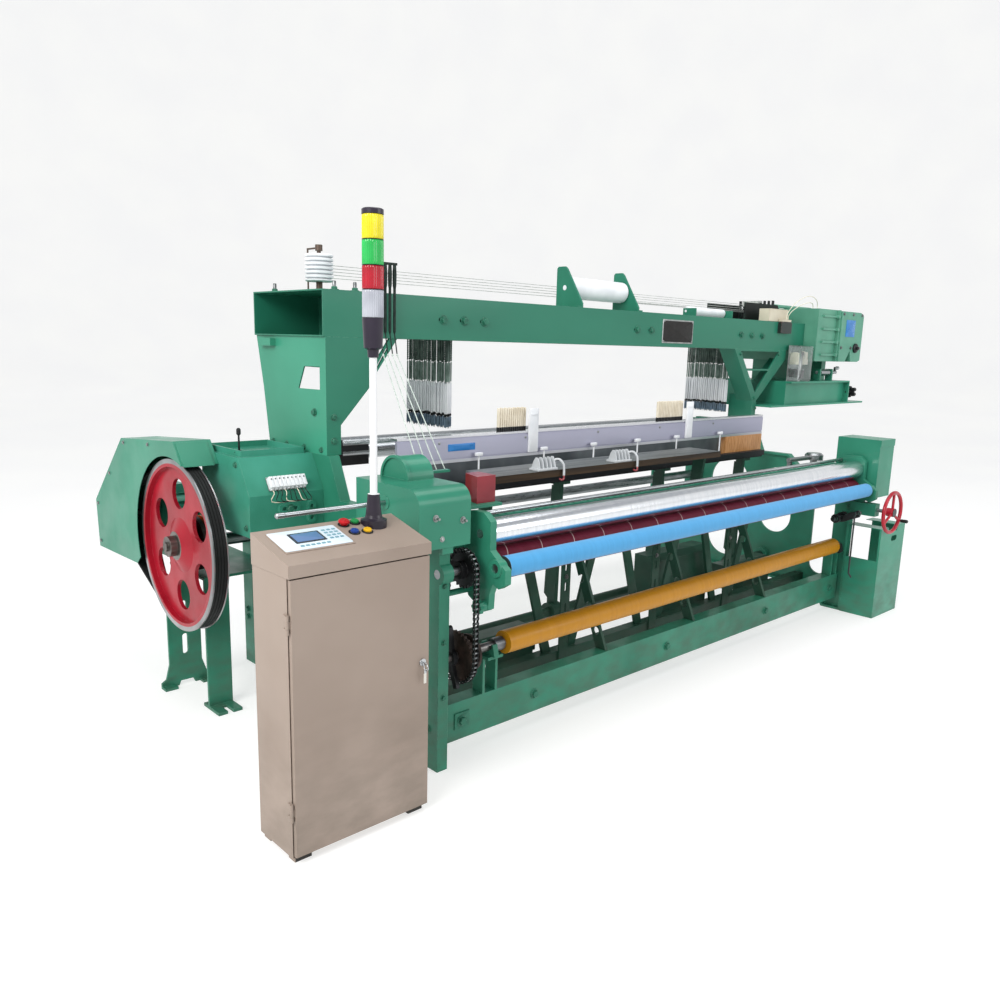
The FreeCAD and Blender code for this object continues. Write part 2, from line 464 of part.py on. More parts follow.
BOX_R_X1, BOX_R_Y0, BOX_R_Y1, BOX_R_Z0, BOX_R_Z1 = WIDTH + 200, -160.0, 112.0, 745.0, 1105.0
LOW_X0, LOW_X1, LOW_Y0, LOW_Z1 = WIDTH - 55, WIDTH + 290, -250.0, 570.0
LOW_SIDE_Z = 365.0        # top of the low box's inner side, left open above


def right_side_boxes():
    """Sheet box over the take-up gears and the tall box on the floor below it."""
    s = COVER_SHEET
    upper = box(WIDTH, BOX_R_X1, BOX_R_Y0, BOX_R_Y1, BOX_R_Z0, BOX_R_Z1)
    upper = upper.cut(box(WIDTH + s, BOX_R_X1 - s, BOX_R_Y0 + s, BOX_R_Y1 - s, BOX_R_Z0 - 1, BOX_R_Z1 - s))
    lip = box(WIDTH, BOX_R_X1, BOX_R_Y0 - 4, BOX_R_Y0, BOX_R_Z1 - 42, BOX_R_Z1)
    upper = fuse([upper, lip])
    y1 = -FRONT_SETBACK
    low = box(LOW_X0, LOW_X1, LOW_Y0, y1, 0, LOW_Z1)
    low = low.cut(box(LOW_X0 + s, LOW_X1 - s, LOW_Y0 + s, y1, s, LOW_Z1 - s))
    low = low.cut([slot("Y", WIDTH + 140, LOW_Z1 - 78, 80, 34, LOW_Y0 - 1, LOW_Y0 + s + 1),
                   prism("Y", [(WIDTH + 40, LOW_Z1 + 1), (WIDTH + 65, LOW_Z1 - 32), (WIDTH + 170, LOW_Z1 - 32),
                               (WIDTH + 195, LOW_Z1 + 1)], LOW_Y0 - 1, y1 + 1),
                   box(LOW_X0 - 1, LOW_X0 + s + 1, LOW_Y0 + 12, y1 + 1, LOW_SIDE_Z, LOW_Z1 - s)])
    return group([upper, low])


# ---- roller brackets and rollers -----------------------------------------------------
def cast_bracket(x, top_plate):
    """Swan-necked casting that holds the breast, take-up and press rollers on one side."""
    outline = [(-100, SHELF_Z + 80), (-100, 860), (-186, 800), (-186, 745), (-150, 722), (-118, 735),
               (-100, 690), (-96, 628), (-40, 628), (20, 660), (70, 760), (70, 985), (0, 1000), (-60, 1000)]
    body = prism("X", outline, x, x + BRACKET_T)
    boss = [rod("X", (x - 8, PRESS_Y, PRESS_Z), 34, BRACKET_T + 8), rod("X", (x - 22, -72, 640), 22, BRACKET_T + 22)]
    body = fuse([body] + boss)
    bores = [rod("X", (x - 30, y, z), SPINDLE_R + RUN, BRACKET_T + 60)
             for y, z in ((BREAST_Y, BREAST_Z), (TAKE_Y, TAKE_Z), (PRESS_Y, PRESS_Z))]
    body = body.cut(bores)
    knob = prism("X", [(-72 + r * math.cos(a * math.pi / 8), 640 + r * math.sin(a * math.pi / 8))
                       for a in range(16) for r in ((30, 24)[a % 2],)], x - 40, x - 22)
    studs = []
    if top_plate:
        studs = [rod("X", (WEB, y, z), 12, x - WEB) for y, z in ((56, 850), (10, 690))]
        studs.append(box(x, 400, 60, 205, 988, 1000))
    return [fuse([body, studs[2]]) if studs else body, knob] + studs[:2]


def cradle(x0, x1):
    """Welded stand on the front rail with an open seat for the cloth roller's journal."""
    legs = [box(x, x + 12, 0, 60, RAIL_HIGH, 400) for x in (x0, x1 - 12)]
    top = box(x0, x1, -30, 60, 388, 400)
    rest = prism("X", [(-46, 400), (46, 400), (34, 450), (26, 450), (26, 428), (-26, 428), (-26, 450), (-34, 450)],
                 x0 + 20, x0 + 44)
    rest = rest.cut(rod("X", (x0, CLOTH_Y, CLOTH_Z), SPINDLE_R + RUN, x1 - x0))
    return fuse(legs + [top, rest])


LINK_Y, LINK_Z, LINK_R = -72.0, 640.0, 15.0
LINK_REACH = 300.0        # free length of the linkage shaft inside the right bracket


def let_off_linkage():
    """Stub shaft with collars, a lever plate and a hanging hook on the right bracket's lower boss."""
    x1 = BRACKET_RIGHT
    x0 = x1 - LINK_REACH
    shaft = turned("X", (x0, LINK_Y, LINK_Z), [(0, LINK_R - 4), (4, LINK_R), (34, LINK_R), (34, 27), (58, 27), (58, LINK_R),
                                              (112, LINK_R), (112, 31), (150, 31), (150, LINK_R), (LINK_REACH, LINK_R)])
    lever = prism("X", [(LINK_Y - 22, LINK_Z + 16), (LINK_Y - 118, LINK_Z + 66), (LINK_Y - 132, LINK_Z + 52), (LINK_Y - 128, LINK_Z + 24),
                        (LINK_Y - 30, LINK_Z - 20), (LINK_Y + 20, LINK_Z - 22), (LINK_Y + 24, LINK_Z + 14)], x0 + 72, x0 + 84)
    pin = rod("X", (x0 + 40, LINK_Y - 112, LINK_Z + 44), 9, 76)
    hook = [(x0 + 46, LINK_Y - 112, LINK_Z + 44), (x0 + 46, LINK_Y - 112, LINK_Z - 318), (x0 + 64, LINK_Y - 122, LINK_Z - 346)]
    rods = [straight(hook[0], hook[1], 5), Part.makeSphere(5, V(*hook[1])), straight(hook[1], hook[2], 5)]
    return [shaft, lever, pin] + rods


def roller_end_brackets():
    parts = cast_bracket(BRACKET_LEFT, True)
    right = cast_bracket(BRACKET_RIGHT, False)[0]
    right = right.cut([box(RIGHT_IN - 1, WIDTH + 1, -FRONT_SETBACK, 200, 0, SHELF_Z),
                       rod("X", (RIGHT_IN - 1, TAKE_Y, TAKE_Z), SPINDLE_R + BOSS_WALL, FLANGE + 2)])
    parts.append(fuse([right] + let_off_linkage()))
    parts += [cradle(262, 342), cradle(WIDTH - 148, WIDTH - 68)]
    worm = box(HAND_X - 34, HAND_X + 26, -200, -FRONT_SETBACK, HAND_Z - 38, HAND_Z + 38)
    worm = worm.cut(right)
    parts.append(bored(worm, "Y", (HAND_X, HAND_Z), 11 + RUN, -210, -60))
    return group(parts)


def roller(y, z, radius, left, right, journal_left, journal_right):
    """Roller turned in one piece with its two journals."""
    steps = [(0, SPINDLE_R), (left - journal_left, SPINDLE_R), (left - journal_left, radius),
             (right - journal_left, radius), (right - journal_left, SPINDLE_R),
             (journal_right - journal_left, SPINDLE_R)]
    return turned("X", (journal_left, y, z), steps)


def rollers():
    left_in = BRACKET_LEFT + BRACKET_T
    right_out = BRACKET_RIGHT + BRACKET_T
    return {
        "breast_roller": roller(BREAST_Y, BREAST_Z, BREAST_R, left_in + 6, BRACKET_RIGHT - 6, BRACKET_LEFT, right_out),
        "take_up_roller": roller(TAKE_Y, TAKE_Z, TAKE_R, left_in + 8, BRACKET_RIGHT - 8, 1, WIDTH - 1),
        "press_roller": roller(PRESS_Y, PRESS_Z, PRESS_R, left_in + 10, BRACKET_RIGHT - 30, BRACKET_LEFT, right_out),
        "cloth_roller": roller(CLOTH_Y, CLOTH_Z, CLOTH_R, 370, WIDTH - 160, SPROCKET_X - 60, WIDTH - 80),
    }


def gear_wheel(x0, x1, y, z, radius, teeth, depth, bore):
    """Toothed disc along X; each tooth is a tapered block on the rim."""
    points = []
    for k in range(teeth):
        mid = 2 * math.pi * k / teeth
        for turn, r in ((-0.32, radius - depth), (-0.15, radius), (0.15, radius), (0.32, radius - depth)):
            angle = mid + turn * 2 * math.pi / teeth
            points.append((y + r * math.cos(angle), z + r * math.sin(angle)))
    return bored(prism("X", points, x0, x1), "X", (y, z), bore, x0 - 1, x1 + 1)


SPROCKET_T = 14.0
TEETH_UPPER, TEETH_LOWER = 22, 31
CHAIN_IN = 8.0


def drive_sprocket():
    """Sprocket with a hub, keyed on the left journal of the take-up roller."""
    x = SPROCKET_X
    wheel = gear_wheel(x, x + SPROCKET_T, TAKE_Y, TAKE_Z, SPROCKET_R, TEETH_UPPER, CHAIN_IN, SPINDLE_R)
    hub = rod("X", (x - 22, TAKE_Y, TAKE_Z), 34, 56, SPINDLE_R)
    return fuse([wheel, hub])


def friction_discs():
    """Lower sprocket, two friction discs and the square coupling, on the cloth roller's journal."""
    x = SPROCKET_X
    wheel = gear_wheel(x, x + SPROCKET_T, CLOTH_Y, CLOTH_Z, LOWER_SPROCKET_R, TEETH_LOWER, CHAIN_IN, SPINDLE_R)
    discs = [rod("X", (x + d, CLOTH_Y, CLOTH_Z), r, 12, SPINDLE_R) for d, r in ((38, 62), (58, 74))]
    hub = rod("X", (x, CLOTH_Y, CLOTH_Z), 30, 96, SPINDLE_R)
    coupling = rod("X", (308, CLOTH_Y, CLOTH_Z), 28, 50, SPINDLE_R)
    return group([fuse([wheel, hub] + discs), coupling])


def drive_chain():
    """Roller chain as one band around both sprockets, clear of their teeth."""
    return loop(SPROCKET_X - 3, SPROCKET_X + SPROCKET_T + 3, (TAKE_Y, TAKE_Z, SPROCKET_R + GAP),
                (CLOTH_Y, CLOTH_Z, LOWER_SPROCKET_R + GAP), 9)


def ratchet_lever():
    """Hand lever that turns on the cloth roller's journal beside the lower sprocket."""
    x0, x1 = SPROCKET_X - 34, SPROCKET_X - 18
    hub = rod("X", (x0, CLOTH_Y, CLOTH_Z), 34, x1 - x0, SPINDLE_R + RUN)
    arm = prism("X", [(-14, CLOTH_Z + 20), (14, CLOTH_Z + 20), (24, CLOTH_Z + 112), (-2, CLOTH_Z + 112)], x0, x1)
    tail = prism("X", [(-16, CLOTH_Z - 20), (12, CLOTH_Z - 20), (-28, CLOTH_Z - 118), (-48, CLOTH_Z - 112)], x0, x1)
    body = fuse([hub, arm, tail, rod("X", (x0, 11, CLOTH_Z + 112), 13, x1 - x0)])
    return bored(body, "X", (CLOTH_Y, CLOTH_Z), SPINDLE_R + RUN, x0 - 1, x1 + 1)


def handwheel():
    """Rim, three spokes, hub, grip and the shaft that runs back into its bearing."""
    rim = Part.makeTorus(HAND_R, 11, V(HAND_X, HAND_Y, HAND_Z), V(0, 1, 0))
    hub = rod("Y", (HAND_X, HAND_Y - 16, HAND_Z), 26, 46)
    spokes = []
    for k in range(3):
        angle = math.pi / 2 + k * 2 * math.pi / 3
        tip = (HAND_X + HAND_R * math.cos(angle), HAND_Y, HAND_Z + HAND_R * math.sin(angle))
        spokes.append(straight((HAND_X, HAND_Y, HAND_Z), tip, 8))
    shaft = rod("Y", (HAND_X, HAND_Y, HAND_Z), 11, -104 - HAND_Y)
    grip = turned("Y", (HAND_X + HAND_R * math.cos(math.pi / 6), HAND_Y, HAND_Z - HAND_R / 2),
                  [(0, 6), (-12, 6), (-16, 10), (-52, 11), (-58, 7)])
    return fuse([rim, hub, shaft, grip] + spokes)


def start_rod():
    """Hand rod through the cover, with a collar against its inner bush."""
    body = rod("X", (-545, ROD_Y, ROD_Z), ROD_R, COVER_X1 - COVER_SHEET + 545)
    tip = turned("X", (-552, ROD_Y, ROD_Z), [(0, 6), (4, 10), (30, 10), (34, ROD_R)])
    collar = rod("X", (COVER_X1 - COVER_SHEET - 36, ROD_Y, ROD_Z), 16, 15)
    return fuse([body, tip, collar])


def front_bars():
    """Polished bar behind the breast roller, the temple bar with its edge strip, and two side rails."""
    y, z = 52.0, 968.0
    bar = rod("X", (BRACKET_LEFT + BRACKET_T, y, z), 10, BRACKET_RIGHT - BRACKET_LEFT - BRACKET_T)
    rear = TEMPLE_Y + TEMPLE_DEPTH
    plate = prism("Z", [(400, TEMPLE_Y), (TEMPLE_END, TEMPLE_Y), (TEMPLE_END, rear), (450, rear)], TEMPLE_Z - 12, TEMPLE_Z)
    plate = plate.cut([box(390, TEMPLE_END + 1, y, y + 6, TEMPLE_Z - 3, TEMPLE_Z) for y in range(168, 340, 24)])
    strip = box(400, TEMPLE_END, TEMPLE_Y - 5, TEMPLE_Y, TEMPLE_Z - 30, TEMPLE_Z)
    lug = box(388, 400, TEMPLE_Y - 5, TEMPLE_Y, 1060, TEMPLE_Z)
    side = [box(COLUMN_T + SHEET, 216, 726, 748, z0, z1) for z0, z1 in ((1090, 1132), (1150, 1176))]
    post = box(COLUMN_T + SHEET, COLUMN_T + SHEET + 14, 726, 748, 1132, 1200)
    y0, z0 = HOLE_RAIL_Y, HOLE_RAIL_Z
    rail = box(BRACKET_LEFT + BRACKET_T, BRACKET_RIGHT, y0, y0 + 34, z0, z0 + 6)
    rail = rail.fuse(box(BRACKET_LEFT + BRACKET_T, BRACKET_RIGHT, y0 + 28, y0 + 34, z0 - 34, z0))
    count = int((BRACKET_RIGHT - BRACKET_LEFT - BRACKET_T - 80) // HOLE_PITCH)
    first = BRACKET_LEFT + BRACKET_T + 40
    rail = rail.cut([rod("Z", (first + k * HOLE_PITCH, y0 + 13, z0 - 1), 8, 8) for k in range(count + 1)])
    return group([bar, fuse([plate, strip, lug]), fuse(side + [post]), rail])


def instrument_boxes():
    """Stop-motion box, relay and signal box on the beam, switch box on the column, feeler cap."""
    stop = prism("Z", [(290, 90), (388, 90), (388, 195), (320, 195)], 1000, 1108)
    signal = box(WIDTH + 90, WIDTH + 330, BEAM_Y + 6, BEAM_Y + 86, BEAM_TOP, BEAM_TOP + 84)
    relay = fuse([box(WIDTH + 200, WIDTH + 340, BEAM_Y - 26, BEAM_Y, BEAM_TOP - 76, BEAM_TOP - 4),
                  box(WIDTH + 210, WIDTH + 334, BEAM_Y - 22, BEAM_Y + 4, BEAM_TOP, BEAM_TOP + 16),
                  box(WIDTH + 210, WIDTH + 334, BEAM_Y - 22, BEAM_Y, BEAM_TOP - 4, BEAM_TOP)])
    switch = box(WIDTH, WIDTH + 34, BEAM_Y + 20, BEAM_Y + 110, TABLE_Z - TABLE_DROP - 95, TABLE_Z - TABLE_DROP)
    cap = turned("Z", (WIDTH - 25, 250, SHELF_Z), [(0, 22), (52, 22), (52, 58), (84, 58), (96, 44)])
    arm = straight((WIDTH - 330, 262, 958), (WIDTH - 83.3, 250, 958), 14)
    holder = box(WIDTH - 320, WIDTH - 300, 250, 275, GIRT_HIGH[1], 945)
    holder = holder.cut(straight((WIDTH - 330, 262, 958), (WIDTH - 83, 250, 958), 14 + GAP))
    return group([stop, signal, relay, switch, cap, arm, holder])


# ---- flywheel, clutch, belts, motor and guard -------------------------------------------
BELT_T = 9.0
GROOVE_R = WHEEL_R - 14.0


def flywheel():
    """Grooved driving wheel: rim, dished web with six round holes, hub and lock nut."""
    x, w = WHEEL_X, WHEEL_W
    rim = rod("X", (x, MAIN_Y, MAIN_Z), WHEEL_R, w, WHEEL_R - 34)
    rim = rim.cut(rod("X", (x + 6, MAIN_Y, MAIN_Z), WHEEL_R + 5, w - 12, GROOVE_R))
    web = rod("X", (x + 24, MAIN_Y, MAIN_Z), WHEEL_R - 32, 16)
    cone = turned("X", (x - 4, MAIN_Y, MAIN_Z), [(0, 58), (28, 120), (44, 120), (64, 70)])
    holes = []
    for k in range(6):
        angle = math.radians(30 + 60 * k)
        holes.append(rod("X", (x - 20, MAIN_Y + 222 * math.cos(angle), MAIN_Z + 222 * math.sin(angle)), 66, 110))
    body = fuse([rim, web.cut(holes), cone.cut(holes)])
    return bored(body, "X", (MAIN_Y, MAIN_Z), MAIN_R, x - 20, x + w + 20)


def main_shaft():
    """Driving shaft with lock nut, clutch disc and its driven collar."""
    x0 = WHEEL_X - 46
    steps = [(0, MAIN_R - 8), (18, MAIN_R - 8), (18, MAIN_R), (WIDTH - 2 - x0, MAIN_R)]
    shaft = turned("X", (x0, MAIN_Y, MAIN_Z), steps)
    nut = rod("X", (x0 + 10, MAIN_Y, MAIN_Z), 44, 31)
    inner = WHEEL_X + WHEEL_W
    disc = turned("X", (inner, MAIN_Y, MAIN_Z), [(0, 60), (14, 60), (14, 118), (34, 118), (34, 96), (48, 96),
                                                (48, 118), (62, 118), (62, 50), (74, 50)])
    return fuse([shaft, nut, disc])


def drive_belts():
    """Set of four V-belts as one band, ribbed outside, around both grooved rims."""
    x0, x1 = WHEEL_X + 7, WHEEL_X + WHEEL_W - 7
    band = loop(x0, x1, (MAIN_Y, MAIN_Z, GROOVE_R + GAP), (MOTOR_Y, MOTOR_Z, MOTOR_PULLEY_R + GAP), BELT_T)
    step = (x1 - x0) / 4.0
    deep = BELT_T - 4.0
    cuts = []
    for k in range(1, 4):
        mid = x0 + k * step
        cuts.append(loop(mid - 1.2, mid + 1.2, (MAIN_Y, MAIN_Z, GROOVE_R + GAP + deep),
                         (MOTOR_Y, MOTOR_Z, MOTOR_PULLEY_R + GAP + deep), BELT_T))
    return band.cut(cuts)


def motor_pulley():
    x = WHEEL_X + 2
    steps = [(0, MOTOR_PULLEY_R + 12), (4, MOTOR_PULLEY_R + 12), (4, MOTOR_PULLEY_R), (WHEEL_W - 6, MOTOR_PULLEY_R),
             (WHEEL_W - 6, MOTOR_PULLEY_R + 12), (WHEEL_W - 2, MOTOR_PULLEY_R + 12), (WHEEL_W - 2, 16), (150, 16)]
    return turned("X", (x, MOTOR_Y, MOTOR_Z), steps)


SHELF_LEG_Z = 590.0
GUARD_X0 = -503.0


def motor():
    """Flanged electric motor: finned barrel, end caps, terminal box and feet."""
    x0, x1 = GEAR_X0 + 8, -70.0
    barrel = turned("X", (x0, MOTOR_Y, MOTOR_Z), [(0, 60), (14, 92), (40, 92), (40, 86), (x1 - x0 - 40, 86),
                                                 (x1 - x0 - 40, 92), (x1 - x0 - 12, 92), (x1 - x0, 66)])
    fins = []
    for k in range(12):
        angle = k * 30
        fin = box(x0 + 40, x1 - 40, MOTOR_Y + 84, MOTOR_Y + 98, MOTOR_Z - 2, MOTOR_Z + 2)
        fin.rotate(V(0, MOTOR_Y, MOTOR_Z), V(1, 0, 0), angle)
        fins.append(fin)
    feet = [box(x, x + 40, MOTOR_Y - 95, MOTOR_Y + 95, SHELF_LEG_Z + 12, SHELF_LEG_Z + 24) for x in (x0 + 45, x1 - 85)]
    legs = [box(x, x + 40, MOTOR_Y - 50, MOTOR_Y + 50, SHELF_LEG_Z + 12, MOTOR_Z - 60) for x in (x0 + 45, x1 - 85)]
    terminal = box(x0 + 80, x0 + 170, MOTOR_Y - 45, MOTOR_Y + 45, MOTOR_Z + 80, MOTOR_Z + 130)
    body = fuse([barrel, terminal] + fins + feet + legs)
    return bored(body, "X", (MOTOR_Y, MOTOR_Z), 16 + RUN, x0 - 1, x1 - 60)


def guard_legs():
    """Front and rear stands and the shelf that carries the guard and the motor."""
    front = box(-410, -300, 1052, 1064, 0, SHELF_LEG_Z)
    rib = prism("X", [(1064, 20), (1110, 20), (1110, 60), (1090, 120), (1090, SHELF_LEG_Z), (1064, SHELF_LEG_Z)], -312, -300)
    foot = box(-410, -300, 960, 1110, 0, 14).cut(box(-368, -342, 959, 1030, -1, 15))
    stand = [(-480, 0), (-240, 0), (-240, 26), (-262, 40), (-285, 110), (-285, SHELF_LEG_Z), (-405, SHELF_LEG_Z),
             (-405, 430), (-440, 400), (-440, 110), (-458, 40), (-480, 26)]
    rear = prism("Y", stand, 1400, 1412)
    rear = rear.cut([slot("Y", -362, z, 100, 26, 1399, 1413, upright=True) for z in (200, 360)])
    rear = rear.cut(prism("Y", [(-400, -1), (-320, -1), (-330, 22), (-390, 22)], 1399, 1413))
    pads = [box(x, x + 60, 1360, 1412, 0, 12) for x in (-480, -300)]
    top = SHELF_LEG_Z + 12
    shelf = fuse([box(-410, -60, 1052, 1412, SHELF_LEG_Z, top), box(-60, 0, 1052, 1228, SHELF_LEG_Z, top),
                  box(GEAR_X0, -60, 1412, MOTOR_Y + 110, SHELF_LEG_Z, top)])
    return fuse([front, rib, foot, rear, shelf] + pads)


def belt_guard():
    """Faceted sheet guard over the upper and rear part of the flywheel and the motor pulley."""
    s = COVER_SHEET
    outline = [(979, 1053), (1086, 1192), (1670, 1150), (2071, 805), (2057, 568), (1560, 580)]
    inside = [(979 + 4, 1053 - 1), (1087, 1188), (1669, 1146), (2067, 803), (2053, 571), (1560, 583)]
    x0, x1 = GUARD_X0, GEAR_X0
    block = prism("X", outline, x0, x1)
    hollow = prism("X", inside, x0 + s, x1 - s)
    mouth = prism("X", [(990, 1062), (1568, 592), (1730, 592), (1730, 560), (1400, 400), (940, 980)], x0 + s, x1 - s)
    body = block.cut([hollow, mouth])
    body = bored(body, "X", (MOTOR_Y, MOTOR_Z), 24, x1 - s - 1, x1 + 1)
    panel = prism("X", [(990, 1067.3), (1080, 1184.2), (1076, 1187.2), (986, 1070.3)], x0 + 8, x1 - 22)
    return bored(fuse([body, panel]), "X", (MAIN_Y, MAIN_Z), WHEEL_R + 12, x0 - 1, x1 + 1)


# ---- sley ----------------------------------------------------------------------------
CAP_X0, CAP_X1 = 222.0, WIDTH - 220
RACE_Z0, RACE_Z1 = 950.0, 985.0
REED_Z1, CAP_Z1 = 1095.0, 1216.0
REED_END = CAP_X1 - 440
SLAT, SLAT_PITCH = 30.0, 32.0
SWORD_X = (400.0, 1250.0, WIDTH - 1260, WIDTH - 410)


def sley_beam():
    """Race board, its black guide track along the front, and the rail it stands on."""
    board = box(CAP_X0 + 20, CAP_X1 - 20, 500, 600, RACE_Z0, RACE_Z1)
    track = box(CAP_X0 + 60, CAP_X1 - 60, 462, 500, RACE_Z1 - 18, RACE_Z1 + 14)
    groove = box(CAP_X0 + 50, CAP_X1 - 50, 474, 486, RACE_Z1 - 10, RACE_Z1 + 15)
    seat = box(CAP_X0 + 100, REED_END + 10, 545.7, 554.3, RACE_Z1 - 12, RACE_Z1 + 1)
    return board.fuse(track).cut([groove, seat])


def sley_swords():
    """Rocking shaft and the cast swords that carry the sley."""
    shaft = rod("X", (2, SLEY_Y, SLEY_Z), SLEY_R, WIDTH - 4)
    parts = [shaft]
    for x in SWORD_X:
        parts.append(rod("X", (x - 35, SLEY_Y, SLEY_Z), 52, 70))
        parts.append(prism("X", [(535, SLEY_Z + 20), (590, SLEY_Z + 20), (575, RACE_Z0), (525, RACE_Z0)], x - 12, x + 12))
        parts.append(prism("X", [(584, SLEY_Z + 60), (620, SLEY_Z + 90), (592, RACE_Z0 - 30), (570, RACE_Z0 - 30)], x - 5, x + 5))
        parts.append(box(x - 40, x + 40, 505, 595, RACE_Z0 - 16, RACE_Z0))
    return fuse(parts)


def reed():
    """Reed: baulks above and below and the field of dents between them."""
    x0, x1 = CAP_X0 + 120, REED_END
    field = box(x0, x1, 548, 552, RACE_Z1 - 10, REED_Z1 + 12)
    low = box(x0, x1, 546, 554, RACE_Z1 - 10, RACE_Z1 + 6)
    top = box(x0, x1, 546, 554, REED_Z1 - 8, REED_Z1 + 14)
    return fuse([field, low, top])


def reed_cap():
    """Extruded aluminium cap with two grooves in its face and a slot for the reed below."""
    body = box(CAP_X0, CAP_X1, 526, 574, REED_Z1, CAP_Z1)
    cuts = [box(CAP_X0, CAP_X1, 525, 530, z, z + 6) for z in (REED_Z1 + 14, CAP_Z1 - 16)]
    cuts.append(box(CAP_X0 + 100, REED_END + 10, 545.7, 554.3, REED_Z1 - 1, REED_Z1 + 16))
    cuts.append(box(CAP_X0, CAP_X1, 540, 575, REED_Z1 + 40, CAP_Z1 - 12))
    return body.cut(cuts)


def end_blocks():
    """Slatted wooden blocks between the race board and the cap at each end."""
    parts = []
    for x0, count in ((CAP_X0 + 22, 3), (REED_END + 16, int((CAP_X1 - REED_END - 16) // SLAT_PITCH))):
        for k in range(count):
            parts.append(box(x0 + k * SLAT_PITCH, x0 + k * SLAT_PITCH + SLAT, 520, 582, RACE_Z1, REED_Z1))
    return group(parts)


# ---- shedding: dobby, jacks, lines and harness ---------------------------------------------
def dobby_body():
    """Ribbed housing with a cross tie, bolted against the end of the beam."""
    body = box(DOBBY_LEFT, DOBBY_MID, DOBBY_Y0 + 20, DOBBY_Y1, DOBBY_Z0, DOBBY_Z1)
    ribs = [box(DOBBY_LEFT + 60, DOBBY_MID, DOBBY_Y0 + 4, DOBBY_Y0 + 20, z, z + 14)
            for z in [DOBBY_Z0 + 40 + 90 * k for k in range(4)]]
    flange = box(DOBBY_MID - 20, DOBBY_MID, DOBBY_Y0, DOBBY_Y1, DOBBY_Z0, DOBBY_Z1)
    tie = rod("X", (DOBBY_LEFT + 30, 1000, DOBBY_Z1 + 22), 14, 560)
    lugs = [box(x, x + 30, 980, 1020, DOBBY_Z1, DOBBY_Z1 + 22) for x in (DOBBY_LEFT + 60, DOBBY_MID - 60)]
    bosses = [rod("Y", (DOBBY_MID - 30, DOBBY_Y0 - 8, z), 13, 28)
              for z in [DOBBY_Z0 + 47 + 90 * k for k in range(4)]]
    return fuse([body, flange, tie] + ribs + lugs + bosses)


def dobby_cover():
    """Faceted cover over the dobby's drive, with a triangular opening at its foot."""
    section = [(DOBBY_MID, DOBBY_Z0), (DOBBY_MID, DOBBY_Z1 - 6), (DOBBY_RIGHT - 120, DOBBY_Z1 - 6),
               (DOBBY_RIGHT - 30, DOBBY_Z1 - 45), (DOBBY_RIGHT, DOBBY_Z1 - 125), (DOBBY_RIGHT, DOBBY_Z0 + 90),
               (DOBBY_RIGHT - 40, DOBBY_Z0 + 20), (DOBBY_RIGHT - 110, DOBBY_Z0)]
    body = prism("Y", section, DOBBY_Y0 - 10, DOBBY_Y1 - 30)
    bevel = prism("Z", [(DOBBY_RIGHT + 1, DOBBY_Y0 - 11), (DOBBY_RIGHT - 70, DOBBY_Y0 - 11), (DOBBY_RIGHT + 1, DOBBY_Y0 + 60)],
                  DOBBY_Z0 - 1, DOBBY_Z1 + 1)
    notch = prism("Y", [(DOBBY_MID + 105, DOBBY_Z0 - 1), (DOBBY_MID + 195, DOBBY_Z0 - 1), (DOBBY_MID + 170, DOBBY_Z0 + 80)], DOBBY_Y0 - 11, DOBBY_Y0 + 60)
    return body.cut([bevel, notch])


CYL_Y, CYL_Z = 690.0, TABLE_Z + 58
TABLE_X0, TABLE_X1 = WIDTH + 240, BEAM_RIGHT + 543
KNOB_Y, KNOB_Z = 620.0, TABLE_Z - 85


def dobby_table():
    """Channel table that carries the dobby, with pedestals, shaft lugs and an end plate."""
    low = TABLE_Z - TABLE_DROP
    x0, x1 = TABLE_X0, TABLE_X1
    plates = [box(x0, x1, 600, 1150, TABLE_Z - 12, TABLE_Z), box(x0, x1, 640, 652, low, TABLE_Z),
              box(WIDTH, x1 + 247, 600, 1150, low, low + 12), box(x1 - 12, x1, 600, 1150, low, TABLE_Z),
              box(x0, x0 + 12, 640, 1150, low, TABLE_Z)]
    plates += [box(x, x + 60, 780, 1120, TABLE_Z, DOBBY_Z0) for x in (DOBBY_LEFT + 20, DOBBY_MID + 135)]
    lugs = []
    for x in (DOBBY_LEFT + 190, DOBBY_LEFT + 370):
        lug = box(x, x + 16, CYL_Y - 26, CYL_Y + 26, TABLE_Z, CYL_Z + 26)
        lugs.append(bored(lug, "X", (CYL_Y, CYL_Z), 12 + RUN, x - 1, x + 17))
    return bored(fuse(plates + lugs), "X", (KNOB_Y, KNOB_Z), 6 + RUN, x1 - 23, x1 + 7)


def dobby_cylinder():
    """Hand-turning shaft below the dobby: bright barrel, crank and knob."""
    x0 = DOBBY_LEFT + 180
    shaft = rod("X", (x0, CYL_Y, CYL_Z), 12, 300)
    barrel = rod("X", (x0 + 40, CYL_Y, CYL_Z), 24, 130)
    crank = prism("X", [(CYL_Y - 10, CYL_Z - 10), (CYL_Y + 10, CYL_Z - 10), (CYL_Y + 8, CYL_Z + 40), (CYL_Y - 8, CYL_Z + 40)],
                  x0 + 282, x0 + 292)
    knob = turned("X", (x0 + 292, CYL_Y, CYL_Z + 32), [(0, 6), (12, 6), (18, 13), (40, 13), (46, 8)])
    return fuse([shaft, barrel, crank, knob])


def table_knob():
    """Five-lobed clamping knob on a stud in the table's end plate."""
    x, y, z = TABLE_X1, KNOB_Y, KNOB_Z
    stud = rod("X", (x - 11, y, z), 6, 70)
    core = rod("X", (x + 57, y, z), 26, 26)
    lobes = [rod("X", (x + 57, y + 30 * math.cos(a * 2 * math.pi / 5), z + 30 * math.sin(a * 2 * math.pi / 5)), 15, 26)
             for a in range(5)]
    collar = rod("X", (x + GAP, y, z), 13, 57)
    return fuse([stud, core, collar] + lobes)


def line_place(k):
    return LINE_Y + k * LINE_PITCH, LINE_Z + 16.0 * k


JACK_COUNT = 9


